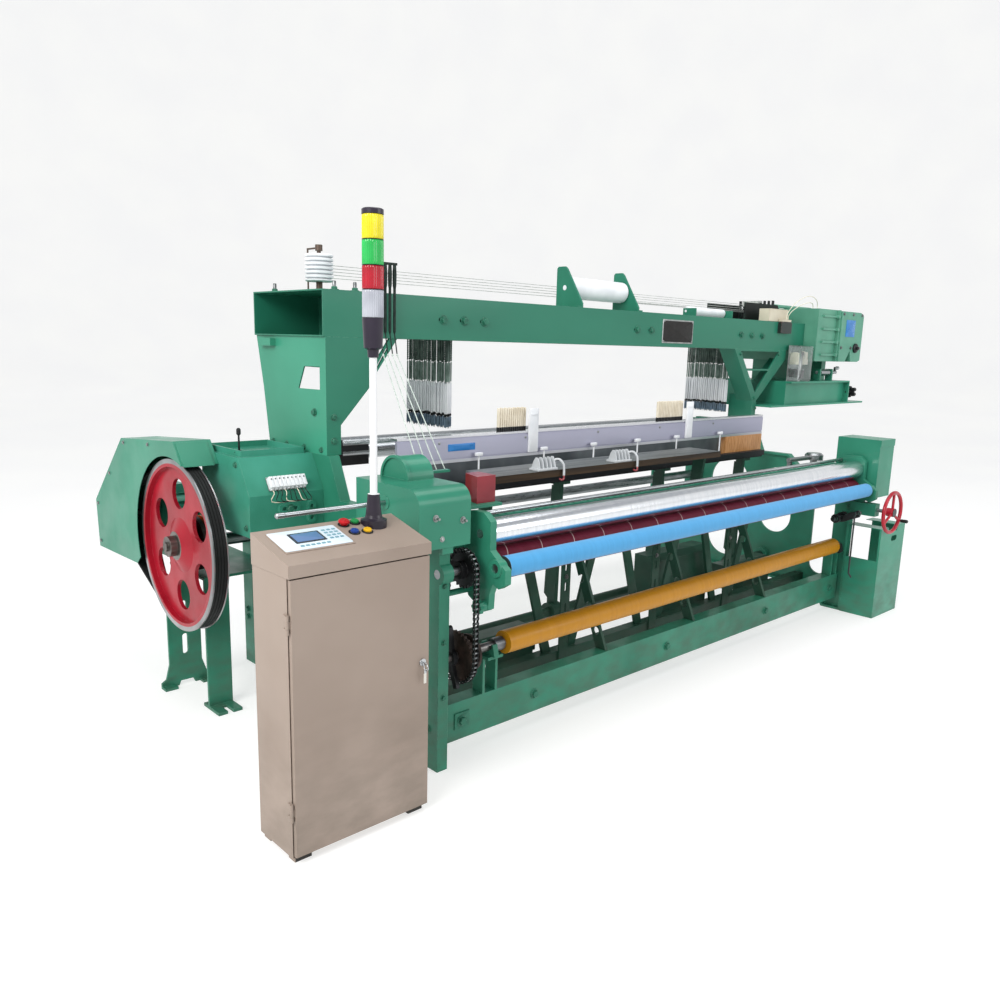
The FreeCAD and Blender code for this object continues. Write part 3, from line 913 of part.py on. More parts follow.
def dobby_jacks():
    """Row of jack levers on one cross shaft above the beam."""
    shaft = rod("Y", (JACK_X, JACK_Y0 - 24, JACK_Z), 9, JACK_Y1 - JACK_Y0 + 38)
    parts = [shaft]
    pitch = (JACK_Y1 - JACK_Y0 - 8) / (JACK_COUNT - 1)
    for k in range(JACK_COUNT):
        y = JACK_Y0 + k * pitch
        parts.append(prism("Y", [(JACK_X - 16, JACK_Z - 20), (JACK_X + 16, JACK_Z - 20), (JACK_X + 12, JACK_Z + 123),
                                 (JACK_X - 12, JACK_Z + 123)], y, y + 8))
    parts.append(box(JACK_X - 6, JACK_X + 6, JACK_Y0, JACK_Y1, JACK_Z + 83, JACK_Z + 95))
    return fuse(parts)


HOOK_Z0, HOOK_Z1 = JACK_Z + 106, JACK_Z + 120


def harness_lines():
    """Drawing lines from the spool to a clamp bar, and the bar's hook behind the jack levers."""
    x1 = JACK_X - 60
    parts = []
    for k in range(LINE_COUNT):
        y, z = line_place(k)
        x0 = SPOOL_X + math.sqrt(SPOOL_R ** 2 - (abs(y - SPOOL_Y) - 1.6) ** 2) + 0.6 if abs(y - SPOOL_Y) > 1.6 else SPOOL_X + SPOOL_R + 0.6
        parts.append(rod("X", (x0, y, z), 1.6, x1 - x0))
    y0, y1 = LINE_Y - 10, LINE_Y + (LINE_COUNT - 1) * LINE_PITCH + 10
    clamp = prism("X", [(y0, LINE_Z - 8), (y1, LINE_Z + 56), (y1, HOOK_Z1), (y0, HOOK_Z1)], x1 - 8, x1)
    hook = box(x1 - 8, JACK_X - 13.5, y0, y1, HOOK_Z0, HOOK_Z1)
    strap = box(GUIDE_X1 + 60, x1 - 30, LINE_Y - 4, LINE_Y + 14, LINE_Z + 4, LINE_Z + 7)
    link = box(x1 - 34, x1 - 8, LINE_Y - 4, LINE_Y + 14, LINE_Z + 4, LINE_Z + 7)
    return fuse(parts + [clamp, hook, strap, link])


def pulley_spool():
    """Turned guide spool with a groove for each line."""
    steps = [(0, SPOOL_R - 6)]
    for k in range(6):
        z = 4 + 18.0 * k
        steps += [(z, SPOOL_R), (z + 5, SPOOL_R), (z + 9, SPOOL_R - 14), (z + 13, SPOOL_R)]
    steps += [(6 + 18.0 * 6, SPOOL_R), (118, SPOOL_R - 6)]
    body = turned("Z", (SPOOL_X, SPOOL_Y, SPOOL_Z), steps)
    return bored(body, "Z", (SPOOL_X, SPOOL_Y), POST_R + RUN, SPOOL_Z - 1, SPOOL_Z + 130)


def guide_roller(x0, x1, y, z, radius, pin, reach):
    steps = [(-reach, pin), (0, pin), (0, radius - 4), (4, radius), (x1 - x0 - 4, radius), (x1 - x0, radius - 4),
             (x1 - x0, pin), (x1 - x0 + reach, pin)]
    return turned("X", (x0, y, z), steps)


HARNESS_X = (770.0, WIDTH - 170)
HEADER_Z = BEAM_Z + 70
HARNESS_LOW = 1200.0


def harness_cords():
    """Two bundles of lifting rods, each under a header that slides between the beams."""
    y0, y1 = BEAM_Y + BEAM_T + GAP, BEAM_REAR_Y - BEAM_T - GAP
    bundles = []
    for x in HARNESS_X:
        parts = [box(x - 14, x + 14, y0, y1, HEADER_Z, HEADER_Z + 16)]
        for k in range(16):
            y = y0 + 18 + k * (y1 - y0 - 36) / 15.0
            shift = 9 if k % 2 else -9
            steps = [(0, 2.2), (24, 2.2), (24, 5), (78, 5), (78, 2.2), (96, 2.2), (96, 6), (226, 6), (226, 2.2),
                     (262, 2.2), (262, 5), (330, 5), (330, 2.2), (HEADER_Z - HARNESS_LOW, 2.2)]
            parts.append(turned("Z", (x + shift, y, HARNESS_LOW), steps))
        bundles.append(fuse(parts))
    return group(bundles)


SELECTOR_X0, SELECTOR_PITCH, SELECTOR_Y = 252.0, 24.0, 686.0


def selector_cords():
    """Four spring rods on a hanger at the beam, their loops, and the cords down to the finger bar."""
    top = BEAM_TOP + 124
    hanger = fuse([box(SELECTOR_X0 - 12, SELECTOR_X0 + 84, SELECTOR_Y - 4, SELECTOR_Y + 4, top - 10, top),
                   box(SELECTOR_X0 + 30, SELECTOR_X0 + 42, SELECTOR_Y + 4, BEAM_Y + 12, top - 10, top),
                   box(SELECTOR_X0 + 30, SELECTOR_X0 + 42, BEAM_Y + 4, BEAM_Y + 12, BEAM_TOP, top)])
    parts = [hanger]
    for k in range(4):
        x = SELECTOR_X0 + k * SELECTOR_PITCH
        parts.append(turned("Z", (x, SELECTOR_Y, top - 294), [(0, 3), (10, 6), (190, 6), (200, 8), (250, 9), (284, 7)]))
        foot = (FINGER_X0 + 14 + 42 * k, FINGER_Y, COVER_Z1 + 12)
        ring = (x, SELECTOR_Y - 20, top - 384)
        parts.append(straight((x, SELECTOR_Y, top - 292), ring, 2.6))
        parts.append(Part.makeSphere(4.5, V(*ring)))
        parts.append(straight(ring, foot, 2.2))
    solids = [hanger]
    for k in range(4):
        solids.append(fuse(parts[1 + 4 * k:5 + 4 * k]))
    return group(solids)


# ---- control cabinet and lamp -------------------------------------------------------------
def lid_height(y):
    return CAB_FRONT_H + LID_SLOPE * (y - CAB_FRONT)


DOOR_T = 16.0
HINGE_X, HINGE_Y = CAB_LEFT - 6.0, CAB_FRONT - 8.0
HINGE_Z = ((150.0, 210.0), (760.0, 820.0))
BODY_TOP = CAB_FRONT_H - LID_SKIRT
PANEL_X = (-682.0, -440.0)
BUTTONS = {"red_button": (-402.0, -34.0), "green_button": (-357.0, -30.0),
           "blue_button": (-398.0, -92.0), "yellow_button": (-352.0, -98.0)}
BUTTON_R = 14.0


def cabinet():
    """Sheet body, sloping lid, feet, hinge halves and the keypad frame."""
    s = 2.0
    body = box(CAB_LEFT, CAB_RIGHT, CAB_FRONT, CAB_BACK, CAB_FOOT, BODY_TOP)
    body = body.cut(box(CAB_LEFT + s, CAB_RIGHT - s, CAB_FRONT - 1, CAB_BACK - s, CAB_FOOT + s, BODY_TOP - s))
    lid = prism("X", [(CAB_FRONT - 18, BODY_TOP), (CAB_FRONT - 18, lid_height(CAB_FRONT - 18)),
                      (CAB_BACK, CAB_BACK_H), (CAB_BACK, BODY_TOP)], CAB_LEFT - 3, CAB_RIGHT + 3)
    under = prism("X", [(CAB_FRONT - 16, BODY_TOP - 1), (CAB_FRONT - 16, lid_height(CAB_FRONT - 16) - s),
                        (CAB_BACK - s, CAB_BACK_H - s - 1), (CAB_BACK - s, BODY_TOP - 1)], CAB_LEFT - 1, CAB_RIGHT + 1)
    lid = lid.cut(under)
    normal = V(0, -math.sin(LID_TILT), math.cos(LID_TILT))
    for x, y in BUTTONS.values():
        top = V(x, y, lid_height(y))
        lid = lid.cut(Part.makeCylinder(BUTTON_R - 4, 12, top - normal * 6, normal))
    feet = [box(x, x + 60, y, y + 40, 0, CAB_FOOT) for x in (CAB_LEFT + 10, CAB_RIGHT - 70) for y in (CAB_FRONT + 6, CAB_BACK - 46)]
    knuckles = []
    for z0, z1 in HINGE_Z:
        for low, high in ((z0, z0 + 18), (z1 - 18, z1)):
            knuckles.append(rod("Z", (HINGE_X, HINGE_Y, low), 5.5, high - low))
            knuckles.append(box(HINGE_X - 1, CAB_LEFT + s, HINGE_Y, CAB_FRONT + 14, low, high))
        knuckles.append(rod("Z", (HINGE_X, HINGE_Y, z0), 3, z1 - z0))
    keypad = box(PANEL_X[0], PANEL_X[1], CAB_FRONT + 50, CAB_BACK - 25, 0, 3)
    keypad.rotate(V(0, CAB_FRONT, 0), V(1, 0, 0), math.degrees(LID_TILT))
    keypad.translate(V(0, 0, CAB_FRONT_H))
    gland_places = [(x, 440 + CABLE_STEP * k) for k, x in enumerate(CABLE_X)]
    glands = [rod("Y", (x, CAB_BACK, z), 13, 14, CABLE_R + 0.2) for x, z in gland_places]
    shell = fuse([body] + knuckles + feet)
    shell = shell.cut([rod("Y", (x, CAB_BACK - 6, z), CABLE_R + 0.2, 8) for x, z in gland_places])
    return group([fuse([shell] + glands), fuse([lid, keypad])])


def cabinet_door():
    """Flat folded door with its hinge barrels, lock body and hanging key."""
    x0, x1, y1 = CAB_LEFT + 4, CAB_RIGHT - 3, CAB_FRONT - GAP
    panel = box(x0, x1, y1 - DOOR_T, y1, CAB_FOOT + 8, BODY_TOP - 5)
    panel = panel.cut(box(x0 + 2, x1 - 2, y1 - DOOR_T + 2, y1 + 1, CAB_FOOT + 10, BODY_TOP - 7))
    parts = [panel]
    for z0, z1 in HINGE_Z:
        barrel = rod("Z", (HINGE_X, HINGE_Y, z0 + 18.3), 5.5, z1 - z0 - 36.6, 3 + RUN)
        leaf = box(HINGE_X + 4, x0 + 1, HINGE_Y - 1.5, HINGE_Y + 1.5, z0 + 18.3, z1 - 18.3)
        parts += [barrel, leaf]
    lock = rod("Y", (x1 - 28, y1 - DOOR_T - 6, 560), 13, 8)
    stem = rod("Y", (x1 - 28, y1 - DOOR_T - 22, 560), 3, 18)
    key = Part.makeTorus(11, 2.2, V(x1 - 28, y1 - DOOR_T - 22, 547), V(1, 0, 0))
    tag = box(x1 - 34, x1 - 24, y1 - DOOR_T - 20, y1 - DOOR_T - 17, 490, 540)
    return fuse(parts + [lock, stem, key, tag])


def push_button(name):
    """Domed cap on a stem through the lid, raised by the stroke it can travel."""
    x, y = BUTTONS[name]
    steps = [(-14, BUTTON_R - 4.2), (4.2, BUTTON_R - 4.2), (4.2, BUTTON_R), (9, BUTTON_R), (11.5, BUTTON_R - 3)]
    if name == "red_button":
        steps = [(-14, BUTTON_R - 4.2), (4.2, BUTTON_R - 4.2), (4.2, 12), (10, 12), (10, 19), (15, 19), (19, 14)]
    body = turned("Z", (0, 0, 0), steps)
    body.rotate(V(0, 0, 0), V(1, 0, 0), math.degrees(LID_TILT))
    body.translate(V(x, y, lid_height(y)))
    return body


POLE_TOP = 1566.0
LENS_Z = (1690.0, 1778.0, 1852.0, 1930.0, 2006.0)


def lamp_post():
    """Conical base on the lid, the pole, and the lamp holder and cap."""
    base = turned("Z", (LAMP_X, LAMP_Y, 990), [(0, 44), (44, 44), (50, 30), (60, 27), (130, 20)])
    base = base.cut(prism("X", [(CAB_FRONT - 18, 900), (CAB_FRONT - 18, lid_height(CAB_FRONT - 18)),
                                (CAB_BACK + 60, lid_height(CAB_BACK + 60)), (CAB_BACK + 60, 900)], LAMP_X - 60, LAMP_X + 60))
    pole = rod("Z", (LAMP_X, LAMP_Y, 1120), 12.5, POLE_TOP - 1120)
    holder = turned("Z", (LAMP_X, LAMP_Y, POLE_TOP), [(0, 17), (24, 19), (30, 30), (LENS_Z[0] - POLE_TOP, LAMP_R)])
    cap = turned("Z", (LAMP_X, LAMP_Y, LENS_Z[-1]), [(0, LAMP_R), (14, LAMP_R), (17, LAMP_R - 4)])
    return group([base, pole, holder, cap])


def lamp_lenses():
    """Four stacked lens drums: clear, red, green and yellow."""
    drums = []
    for low, high in zip(LENS_Z, LENS_Z[1:]):
        drums.append(turned("Z", (LAMP_X, LAMP_Y, low), [(0, LAMP_R - 1), (2, LAMP_R), (high - low - 3, LAMP_R),
                                                       (high - low, LAMP_R - 1)]))
    return group(drums)


CABLE_X = (-575.0, -540.0, -505.0)
CABLE_R = 5.0
CABLE_STEP = 16.0


def control_cables():
    """Three black cables from the cabinet to the left frame, and two pale signal cables."""
    parts = []
    for k, x in enumerate(CABLE_X):
        route = [(x, CAB_BACK, 440), (x, 56, 440), (x - 4, 112, 432), (x + 2, 164, 392),
                 (x + 18, 204, 340), (x + 46, 234, 284), (x + 88, 264, 232), (x + 142, 292, 190),
                 (x + 202, 318, 160), (x + 264, 342, 142), (x + 328, 364, 134), (x + 392, 381, 131),
                 (x + 452, 393, 130.5)]
        route = [point for point in route if point[0] < -115] + [(-58, 400, 130), (0, 400, 130)]
        parts.append(tube_along([(px, py, pz + CABLE_STEP * k) for px, py, pz in route], CABLE_R))
    top = BEAM_TOP + 16
    signals = [
        [(3664, BEAM_Y - 12, top), (3664, BEAM_Y - 12, 1862), (3684, 696, 1892), (3724, 686, 1918), (3770, 679, 1938),
         (3820, 676, 1952), (3868, 676, 1961), (3916, 681, 1964), (3962, 691, 1960), (3992, 702, 1942), (3992, 702, DOBBY_Z1)],
        [(3640, BEAM_Y - 12, top), (3640, BEAM_Y - 12, 1866), (3652, 690, 1906), (3680, 674, 1944), (3722, 660, 1974),
         (3774, 652, 1994), (3830, 650, 2004), (3886, 652, 2002), (3938, 658, 1990), (3984, 669, 1972), (4012, 680, 1948),
         (4012, 680, DOBBY_Z1)],
    ]
    parts += [tube_along(route, 2.5) for route in signals]
    return group(parts)


def back_rest():
    """Back rest roller between the lugs at the top of the side frames."""
    return roller(BACK_Y, BACK_Z, BACK_R, WEB + 6, WIDTH - WEB - 6, 1, WIDTH - 1)


# ---- assembly -------------------------------------------------------------------------
def pieces():
    made = {
        "left_side_frame": side_frame(0.0, 1), "right_side_frame": side_frame(WIDTH, -1),
        "front_rail": front_rail(), "inner_frame": inner_frame(), "left_column": left_column(),
        "right_column": right_column(), "top_beam": top_beam(), "beam_fittings": beam_fittings(),
        "frame_bolts": frame_bolts(), "left_front_cover": left_front_cover(), "gear_housing": gear_housing(),
        "gear_lever": gear_lever(), "right_side_boxes": right_side_boxes(),
        "roller_end_brackets": roller_end_brackets(), "drive_sprocket": drive_sprocket(),
        "friction_discs": friction_discs(), "drive_chain": drive_chain(), "ratchet_lever": ratchet_lever(),
        "handwheel": handwheel(), "start_rod": start_rod(), "front_bars": front_bars(),
        "instrument_boxes": instrument_boxes(), "flywheel": flywheel(), "main_shaft": main_shaft(),
        "drive_belts": drive_belts(), "motor_pulley": motor_pulley(), "motor": motor(),
        "guard_legs": guard_legs(), "belt_guard": belt_guard(), "sley_beam": sley_beam(),
        "sley_swords": sley_swords(), "reed": reed(), "reed_cap": reed_cap(), "end_blocks": end_blocks(),
        "dobby_body": dobby_body(), "dobby_cover": dobby_cover(), "dobby_table": dobby_table(),
        "dobby_cylinder": dobby_cylinder(), "table_knob": table_knob(), "dobby_jacks": dobby_jacks(),
        "harness_lines": harness_lines(), "pulley_spool": pulley_spool(), "harness_cords": harness_cords(),
        "upper_guide_roller": guide_roller(GUIDE_X0, GUIDE_X1, GUIDE_Y, GUIDE_Z, GUIDE_R, GUIDE_PIN, 14),
        "right_guide_roller": guide_roller(*RIGHT_GUIDE, 8, 12), "selector_cords": selector_cords(),
        "cabinet": cabinet(), "cabinet_door": cabinet_door(), "lamp_post": lamp_post(),
        "lamp_lenses": lamp_lenses(), "control_cables": control_cables(), "back_rest": back_rest(),
    }
    made.update(rollers())
    made.update({name: push_button(name) for name in BUTTONS})
    return made


def footprint_shift(made):
    """Move that brings the middle of the loom's footprint to the origin."""
    whole = FreeCAD.BoundBox()
    for shape in made.values():
        whole.add(shape.BoundBox)
    return V(-whole.Center.x, -whole.Center.y, -whole.ZMin)


def main():
    os.makedirs("parts", exist_ok=True)
    made = pieces()
    shift = footprint_shift(made)
    print("shift", shift)
    for name, shape in made.items():
        shape.translate(shift)
        shape.exportStep(os.path.join("parts", name + ".step"))
        bad = [s for s in shape.Solids if not s.isValid()]
        if bad or not shape.Solids:
            print("CHECK", name, len(shape.Solids), "solids,", len(bad), "not valid")
    print(len(made), "pieces")


if __name__ == "__main__":
    main()
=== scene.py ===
import math
import bpy
import numpy as np
from mathutils import Matrix, Vector


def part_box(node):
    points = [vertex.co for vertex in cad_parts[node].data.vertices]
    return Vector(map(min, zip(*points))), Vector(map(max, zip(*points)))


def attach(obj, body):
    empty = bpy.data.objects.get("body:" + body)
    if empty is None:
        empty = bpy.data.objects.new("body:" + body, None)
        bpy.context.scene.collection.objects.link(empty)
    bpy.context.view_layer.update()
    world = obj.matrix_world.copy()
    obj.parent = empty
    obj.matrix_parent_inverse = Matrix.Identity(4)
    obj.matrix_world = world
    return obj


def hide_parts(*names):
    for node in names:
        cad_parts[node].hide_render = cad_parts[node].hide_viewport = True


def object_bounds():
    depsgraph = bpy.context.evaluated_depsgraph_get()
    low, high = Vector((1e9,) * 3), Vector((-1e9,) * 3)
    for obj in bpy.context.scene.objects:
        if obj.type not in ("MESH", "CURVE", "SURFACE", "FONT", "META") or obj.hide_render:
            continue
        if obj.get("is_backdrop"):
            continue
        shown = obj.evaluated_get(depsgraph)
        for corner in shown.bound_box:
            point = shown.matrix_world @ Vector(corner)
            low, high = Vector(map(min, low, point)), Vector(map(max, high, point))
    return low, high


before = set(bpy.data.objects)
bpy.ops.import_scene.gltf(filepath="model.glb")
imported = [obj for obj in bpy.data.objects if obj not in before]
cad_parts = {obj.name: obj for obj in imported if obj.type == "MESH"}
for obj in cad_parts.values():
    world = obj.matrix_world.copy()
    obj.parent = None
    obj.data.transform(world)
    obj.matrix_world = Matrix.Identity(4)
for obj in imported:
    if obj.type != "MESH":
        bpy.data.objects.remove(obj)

cad_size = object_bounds()
side_low, side_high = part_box("left_side_frame")
# Loom places are in metres from HOME, the outer front foot of the left side frame: x right, y back, z up.
FRAME_DEPTH, FRAME_WIDTH = 1.52, 3.36
HOME = np.array([side_low.x, side_high.y - FRAME_DEPTH, 0.0])
BEAM_FACE = 0.717  # y of the gantry beam's front
WHEEL_AXLE = (0, 1.15, 0.738)
AXIS = dict(zip("XYZ", np.eye(3)))


# ---- surfaces ----------------------------------------------------------------------------
def outward(points, quads, fans):
    """Turns every face of a closed shell outwards: the shell's signed volume has to be positive."""
    p = points - points.mean(0)
    tri = np.concatenate([quads[:, [0, 1, 2]], quads[:, [0, 2, 3]], fans])
    volume = np.einsum("ij,ij->", p[tri[:, 0]], np.cross(p[tri[:, 1]], p[tri[:, 2]]))
    return (points, quads, fans) if volume > 0 else (points, quads[:, ::-1], fans[:, ::-1])


def loft(rings):
    """Closed shell over rings (ring, point, xyz): quads join neighbours, and a fan closes each end ring."""
    rings = np.asarray(rings, float)
    count, around = rings.shape[:2]
    index = np.arange(count * around).reshape(count, around)
    after = np.roll(index, -1, axis=1)
    quads = np.stack([index[:-1], after[:-1], after[1:], index[1:]], -1).reshape(-1, 4)
    points = np.concatenate([rings.reshape(-1, 3), rings[:1].mean(1), rings[-1:].mean(1)])
    first, last = count * around, count * around + 1
    fans = np.concatenate([np.stack([after[0], index[0], np.full(around, first)], -1),
                           np.stack([index[-1], after[-1], np.full(around, last)], -1)])
    return outward(points, quads, fans)


def strip_ring(rings):
    """Closed band over rings whose last ring joins the first, as on a washer or a bezel."""
    rings = np.asarray(rings, float)
    count, around = rings.shape[:2]
    index = np.arange(count * around).reshape(count, around)
    after, below = np.roll(index, -1, axis=1), np.roll(index, -1, axis=0)
    quads = np.stack([index, after, np.roll(after, -1, axis=0), below], -1).reshape(-1, 4)
    return outward(rings.reshape(-1, 3), quads, np.zeros((0, 3), int))


def circle(angle, axis):
    """Points (cos a, sin a) in the plane square to an axis."""
    return np.cos(angle)[:, None] * np.roll(AXIS[axis], 1) + np.sin(angle)[:, None] * np.roll(AXIS[axis], 2)


def turned(profile, start, axis="X", around=24, ripple=None):
    """Surface of revolution: point(d, a) = start + d along the axis + r(d) (cos a, sin a).

    A ripple (height, waves, least radius) adds height cos(waves a) to r where r is over the least."""
    profile = np.array(profile, float)
    angle = np.arange(around) * 2 * math.pi / around
    radius = profile[:, 1][:, None] * np.ones(around)
    if ripple:
        radius = radius + ripple[0] * np.cos(ripple[1] * angle) * (profile[:, 1] > ripple[2])[:, None]
    level = np.array(start) + profile[:, 0][:, None, None] * AXIS[axis]
    return loft(level + radius[..., None] * circle(angle, axis))


def ring_of(profile, start, axis="X"):
    """Open ring: a closed (distance, radius) outline carried round the axis by (cos a, sin a)."""
    distance, radius = np.array(profile, float).T[:, :, None, None]
    ring = circle(np.arange(32) * 2 * math.pi / 32, axis)
    return strip_ring(np.array(start) + distance * AXIS[axis] + radius * ring)


def plan(axis, a, b, c):
    """Points of a section plane: X holds (y, z), Y holds (x, z), Z holds (x, y), at c along the axis."""
    c = np.broadcast_to(c, np.shape(a))
    return np.stack({"X": (c, a, b), "Y": (a, c, b), "Z": (a, b, c)}[axis], -1)


def block(x0, x1, y0, y1, z0, z1, edge=0.0012, axis="Z", corner=None):
    """Rounded rectangle carried along the axis, drawn in by edge (1 - sin t) at each end."""
    spans = {"X": (y0, y1, z0, z1, x0, x1), "Y": (x0, x1, z0, z1, y0, y1),
             "Z": (x0, x1, y0, y1, z0, z1)}[axis]
    a0, a1, b0, b1, c0, c1 = spans
    corner = edge if corner is None else corner
    quarter = np.linspace(0, math.pi / 2, 4)
    turn = np.concatenate([quarter + k * math.pi / 2 for k in range(4)])
    sx = np.repeat([1, -1, -1, 1], 4)
    sy = np.repeat([1, 1, -1, -1], 4)
    steps = np.linspace(0, math.pi / 2, 3)
    inset = np.concatenate([edge * (1 - np.sin(steps)), edge * (1 - np.sin(steps))[::-1]])
    level = np.concatenate([c0 + edge * (1 - np.cos(steps)), c1 - edge * (1 - np.cos(steps))[::-1]])
    rings = []
    for pull, height in zip(inset, level):
        a = (a0 + a1) / 2 + sx * ((a1 - a0) / 2 - corner - pull) + corner * np.cos(turn)
        b = (b0 + b1) / 2 + sy * ((b1 - b0) / 2 - corner - pull) + corner * np.sin(turn)
        rings.append(plan(axis, a, b, height))
    return loft(rings)


def plate(axis, outline, low, high):
    """Outline carried along the axis; its ends are drawn in by edge towards the outline's middle."""
    edge = 0.0008
    outline = np.array(outline, float)
    middle = outline.mean(0)
    reach = np.linalg.norm(outline - middle, axis=1, keepdims=True)
    small = outline - (outline - middle) / reach * edge
    rings = [(small, low), (outline, low + edge), (outline, high - edge), (small, high)]
    return loft([plan(axis, r[:, 0], r[:, 1], c) for r, c in rings])


def along_path(path, radius, around=8):
    """Tube: a circle of the given radius, or radii, carried along a path square to its run."""
    path = np.array(path, float)
    run = np.gradient(path, axis=0)
    run /= np.linalg.norm(run, axis=1, keepdims=True)
    guide = np.where(np.abs(run[:, 2:3]) > 0.9, AXIS["X"], AXIS["Z"])
    side = np.cross(run, guide)
    side /= np.linalg.norm(side, axis=1, keepdims=True)
    lift = np.cross(side, run)
    angle = np.arange(around) * 2 * math.pi / around
    radius = np.broadcast_to(radius, len(path))[:, None, None]
    ring = np.cos(angle)[None, :, None] * side[:, None] + np.sin(angle)[None, :, None] * lift[:, None]
    return loft(path[:, None] + radius * ring)


def curve(points, count=24):
    """Smooth path through a few points: each coordinate is a Catmull-Rom cubic of the run between them."""
    p = np.array(points, float)
    p = np.concatenate([[2 * p[0] - p[1]], p, [2 * p[-1] - p[-2]]])
    t = np.linspace(0, len(points) - 1, count)
    k = np.minimum(t.astype(int), len(points) - 2)
    u = (t - k)[:, None]
    a, b, c, d = p[k], p[k + 1], p[k + 2], p[k + 3]
    return 0.5 * (2 * b + (c - a) * u + (2 * a - 5 * b + 4 * c - d) * u ** 2
                  + (3 * b - a - 3 * c + d) * u ** 3)


def join(*shells):
    """One shell out of several."""
    points, quads, fans, count = [], [], [], 0
    for p, q, f in shells:
        points.append(p)
        quads.append(q + count)
        fans.append(f + count)
        count += len(p)
    return np.concatenate(points), np.concatenate(quads), np.concatenate(fans)


def moved(shell, *offsets):
    """Copies of a shell, each moved by one offset."""
    p, q, f = shell
    offsets = np.array(offsets, float).reshape(-1, 3)
    step = (np.arange(len(offsets)) * len(p))[:, None, None]
    return ((p[None] + offsets[:, None]).reshape(-1, 3), (q[None] + step).reshape(-1, 4),
            (f[None] + step).reshape(-1, 3))


def set_out(shell, turns, offsets):
    """Copies of a shell, each turned by its own 3 x 3 matrix and then moved."""
    p, q, f = shell
    step = (np.arange(len(turns)) * len(p))[:, None, None]
    places = np.einsum("kij,nj->kni", np.array(turns, float), p) + np.array(offsets, float)[:, None]
    return places.reshape(-1, 3), (q[None] + step).reshape(-1, 4), (f[None] + step).reshape(-1, 3)


def piece(name, parts, body, stands_for=(), crease=38):
    """Object of (shell, material) pairs, moved from loom places to the model's frame; it rides on a body."""
    shells = [shell for shell, _ in parts]
    points, quads, fans = join(*shells)
    mesh = bpy.data.meshes.new(name)
    mesh.vertices.add(len(points))
    mesh.vertices.foreach_set("co", (points + HOME).astype(np.float32).ravel())
    sizes = np.concatenate([np.full(len(quads), 4), np.full(len(fans), 3)])
    mesh.loops.add(int(sizes.sum()))
    mesh.loops.foreach_set("vertex_index", np.concatenate([quads.ravel(), fans.ravel()]).astype(np.int32))
    mesh.polygons.add(len(sizes))
    mesh.polygons.foreach_set("loop_start", np.concatenate([[0], np.cumsum(sizes)[:-1]]).astype(np.int32))
    used = []
    for _, material in parts:
        if material not in used:
            used.append(material)
            mesh.materials.append(material)
    tag = [used.index(material) for _, material in parts]
    quad_tags = np.repeat(tag, [len(s[1]) for s in shells])
    fan_tags = np.repeat(tag, [len(s[2]) for s in shells])
    mesh.polygons.foreach_set("material_index", np.concatenate([quad_tags, fan_tags]).astype(np.int32))
    mesh.polygons.foreach_set("use_smooth", np.ones(len(sizes), bool))
    mesh.update(calc_edges=True)
    mesh.set_sharp_from_angle(angle=math.radians(crease))
    made = bpy.data.objects.new(name, mesh)
    bpy.context.scene.collection.objects.link(made)
    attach(made, body)
    if stands_for:
        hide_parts(*stands_for)
    return made


# ---- finishes ----------------------------------------------------------------------------
def shade(code):
    """Linear colour of a hex code."""
    c = np.array([int(code[k:k + 2], 16) for k in (0, 2, 4)]) / 255
    return (*np.where(c <= 0.04045, c / 12.92, ((c + 0.055) / 1.055) ** 2.4), 1.0)


